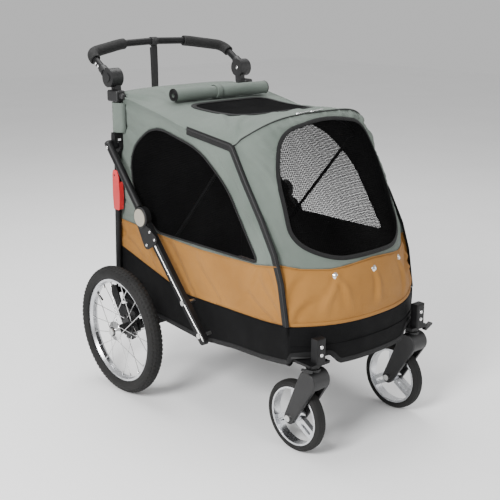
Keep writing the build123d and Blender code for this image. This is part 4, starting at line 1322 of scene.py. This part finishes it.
def tyre_profile(radius, half, bead_radius, bead_half):
    """Half-round tyre section with a shoulder and sidewall ribs, as (radius, offset)."""
    middle = radius - half * 0.98
    section = []
    for k in range(-32, 33):
        a = math.radians(k * 4.0)
        rib = 0.45 if abs(k) in (17, 18, 21, 22) else 0.0
        crown = -0.5 if abs(k) <= 12 else 0.0
        section.append((middle + (half + rib + crown) * math.cos(a), (half + rib + crown) * math.sin(a)))
    section = [p for p in section if p[0] > bead_radius]
    return [(bead_radius, -bead_half)] + section + [(bead_radius, bead_half)]


for name, s in SIDES.items():
    centre = (s * 0.3383, 0.2295, 0.199)
    body = f"rear_wheel_{name}"
    shell = turned(f"rear_hub_shell_{name}",
                   [(9.2, -23.6), (15.5, -23.6), (15.6, 18.2), (29.6, 18.5), (29.9, 20.5), (29.6, 22.5), (16.4, 23.0),
                    (15.8, 29.6), (9.2, 29.9)], centre, (s, 0, 0), CHROME, "silver_metal", closed=True)
    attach(shell, body)
    tyre = turned(f"rear_tyre_skin_{name}", tyre_profile(197.6, 22.6, 159.5, 12.4), centre, (1, 0, 0), RUBBER,
                  "black_tyre", 144)
    solid(tyre, 2.0 * MM, -1.0)
    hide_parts(f"rear_tyre_{name}")
    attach(tyre, body)
    rows = [(0.0, 0.0, 0.3), (-9.0, 0.5, 2.2), (9.0, 0.5, 2.2), (-16.4, 0.0, 7.6), (16.4, 0.0, 7.6)]
    knobs = tread(f"rear_tread_{name}", centre, 197.4, 22.6, rows, 84, (6.2, 9.4), RUBBER, "black_tyre")
    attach(knobs, body)
    nipples = []
    for k in range(20):
        a = 2 * math.pi * k / 20
        ray = Vector((0, math.cos(a), math.sin(a)))
        nipples.append(turned("nipple", [(0, 0), (1.9, 0.2), (2.1, 3.0), (1.7, 9.0), (1.2, 11.0)],
                              Vector(centre) + ray * 0.1500, -ray, CHROME, "spoke_wire", 10))
    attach(merge(f"rear_nipples_{name}", nipples), body)
    ray = Vector((0, math.cos(0.62), math.sin(0.62)))
    valve = turned(f"rear_valve_{name}", [(0, 30), (2.6, 29.4), (3.2, 27.0), (3.2, 20.0), (2.5, 19.5), (2.5, 3.0),
                                          (4.2, 2.4), (4.4, -2.0)], Vector(centre) + ray * 0.1485, -ray, MOULDED,
                   "black_plastic", 18)
    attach(valve, body)

for name, s in SIDES.items():
    low, high = (np.array(v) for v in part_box(f"front_tyre_{name}"))
    centre = tuple((low + high) / 2)
    half = (high[0] - low[0]) / 2 / MM
    outer = (high[2] - low[2]) / 2 / MM
    body = f"front_wheel_{name}"
    ribs = []
    for across in (-7.5, 0.0, 7.5):
        ring = [Vector((centre[0] + across * MM, centre[1] + (outer - 0.4 - abs(across) * 0.10) * MM * math.cos(a),
                        centre[2] + (outer - 0.4 - abs(across) * 0.10) * MM * math.sin(a)))
                for a in np.linspace(0, 2 * math.pi, 121)[:-1]]
        ribs.append(pipe("rib", ring, 1.2, RUBBER, "black_tyre", closed=True, sides=6))
    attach(merge(f"front_tyre_ribs_{name}", ribs), body)

# ---------------------------------------------------------------- floor and light

ground = bpy.data.meshes.new("ground")
ground.from_pydata([(-9, -9, 0), (9, -9, 0), (9, 9, 0), (-9, 9, 0)], [], [(0, 1, 2, 3)])
ground_look = finish_of("ground_look", [(0.3, (0.93, 0.93, 0.93)), (0.7, (0.96, 0.96, 0.96))], (0.7, 0.85), [],
                        blotch=2.0)
ground.materials.append(ground_look)
floor = bpy.data.objects.new("ground", ground)
scene.collection.objects.link(floor)

world = bpy.data.worlds.new("studio")
scene.world = world
world.use_nodes = True
world.node_tree.nodes["Background"].inputs["Color"].default_value = (1.0, 1.0, 1.0, 1.0)
world.node_tree.nodes["Background"].inputs["Strength"].default_value = 0.62


def soft_box(name, place, target, size, power):
    """A large soft lamp."""
    data = bpy.data.lights.new(name, "AREA")
    data.shape = "RECTANGLE"
    data.size = size
    data.size_y = size
    data.energy = power
    lamp = bpy.data.objects.new(name, data)
    lamp.location = place
    lamp.rotation_euler = (Vector(target) - Vector(place)).to_track_quat("-Z", "Y").to_euler()
    scene.collection.objects.link(lamp)


soft_box("key", (-3.0, -1.0, 2.5), (0, 0, 0.5), 1.2, 190)
soft_box("fill", (2.6, -3.0, 1.6), (0, 0, 0.5), 2.4, 32)
soft_box("top", (0.3, 0.9, 3.4), (0, 0, 0.6), 2.2, 95)
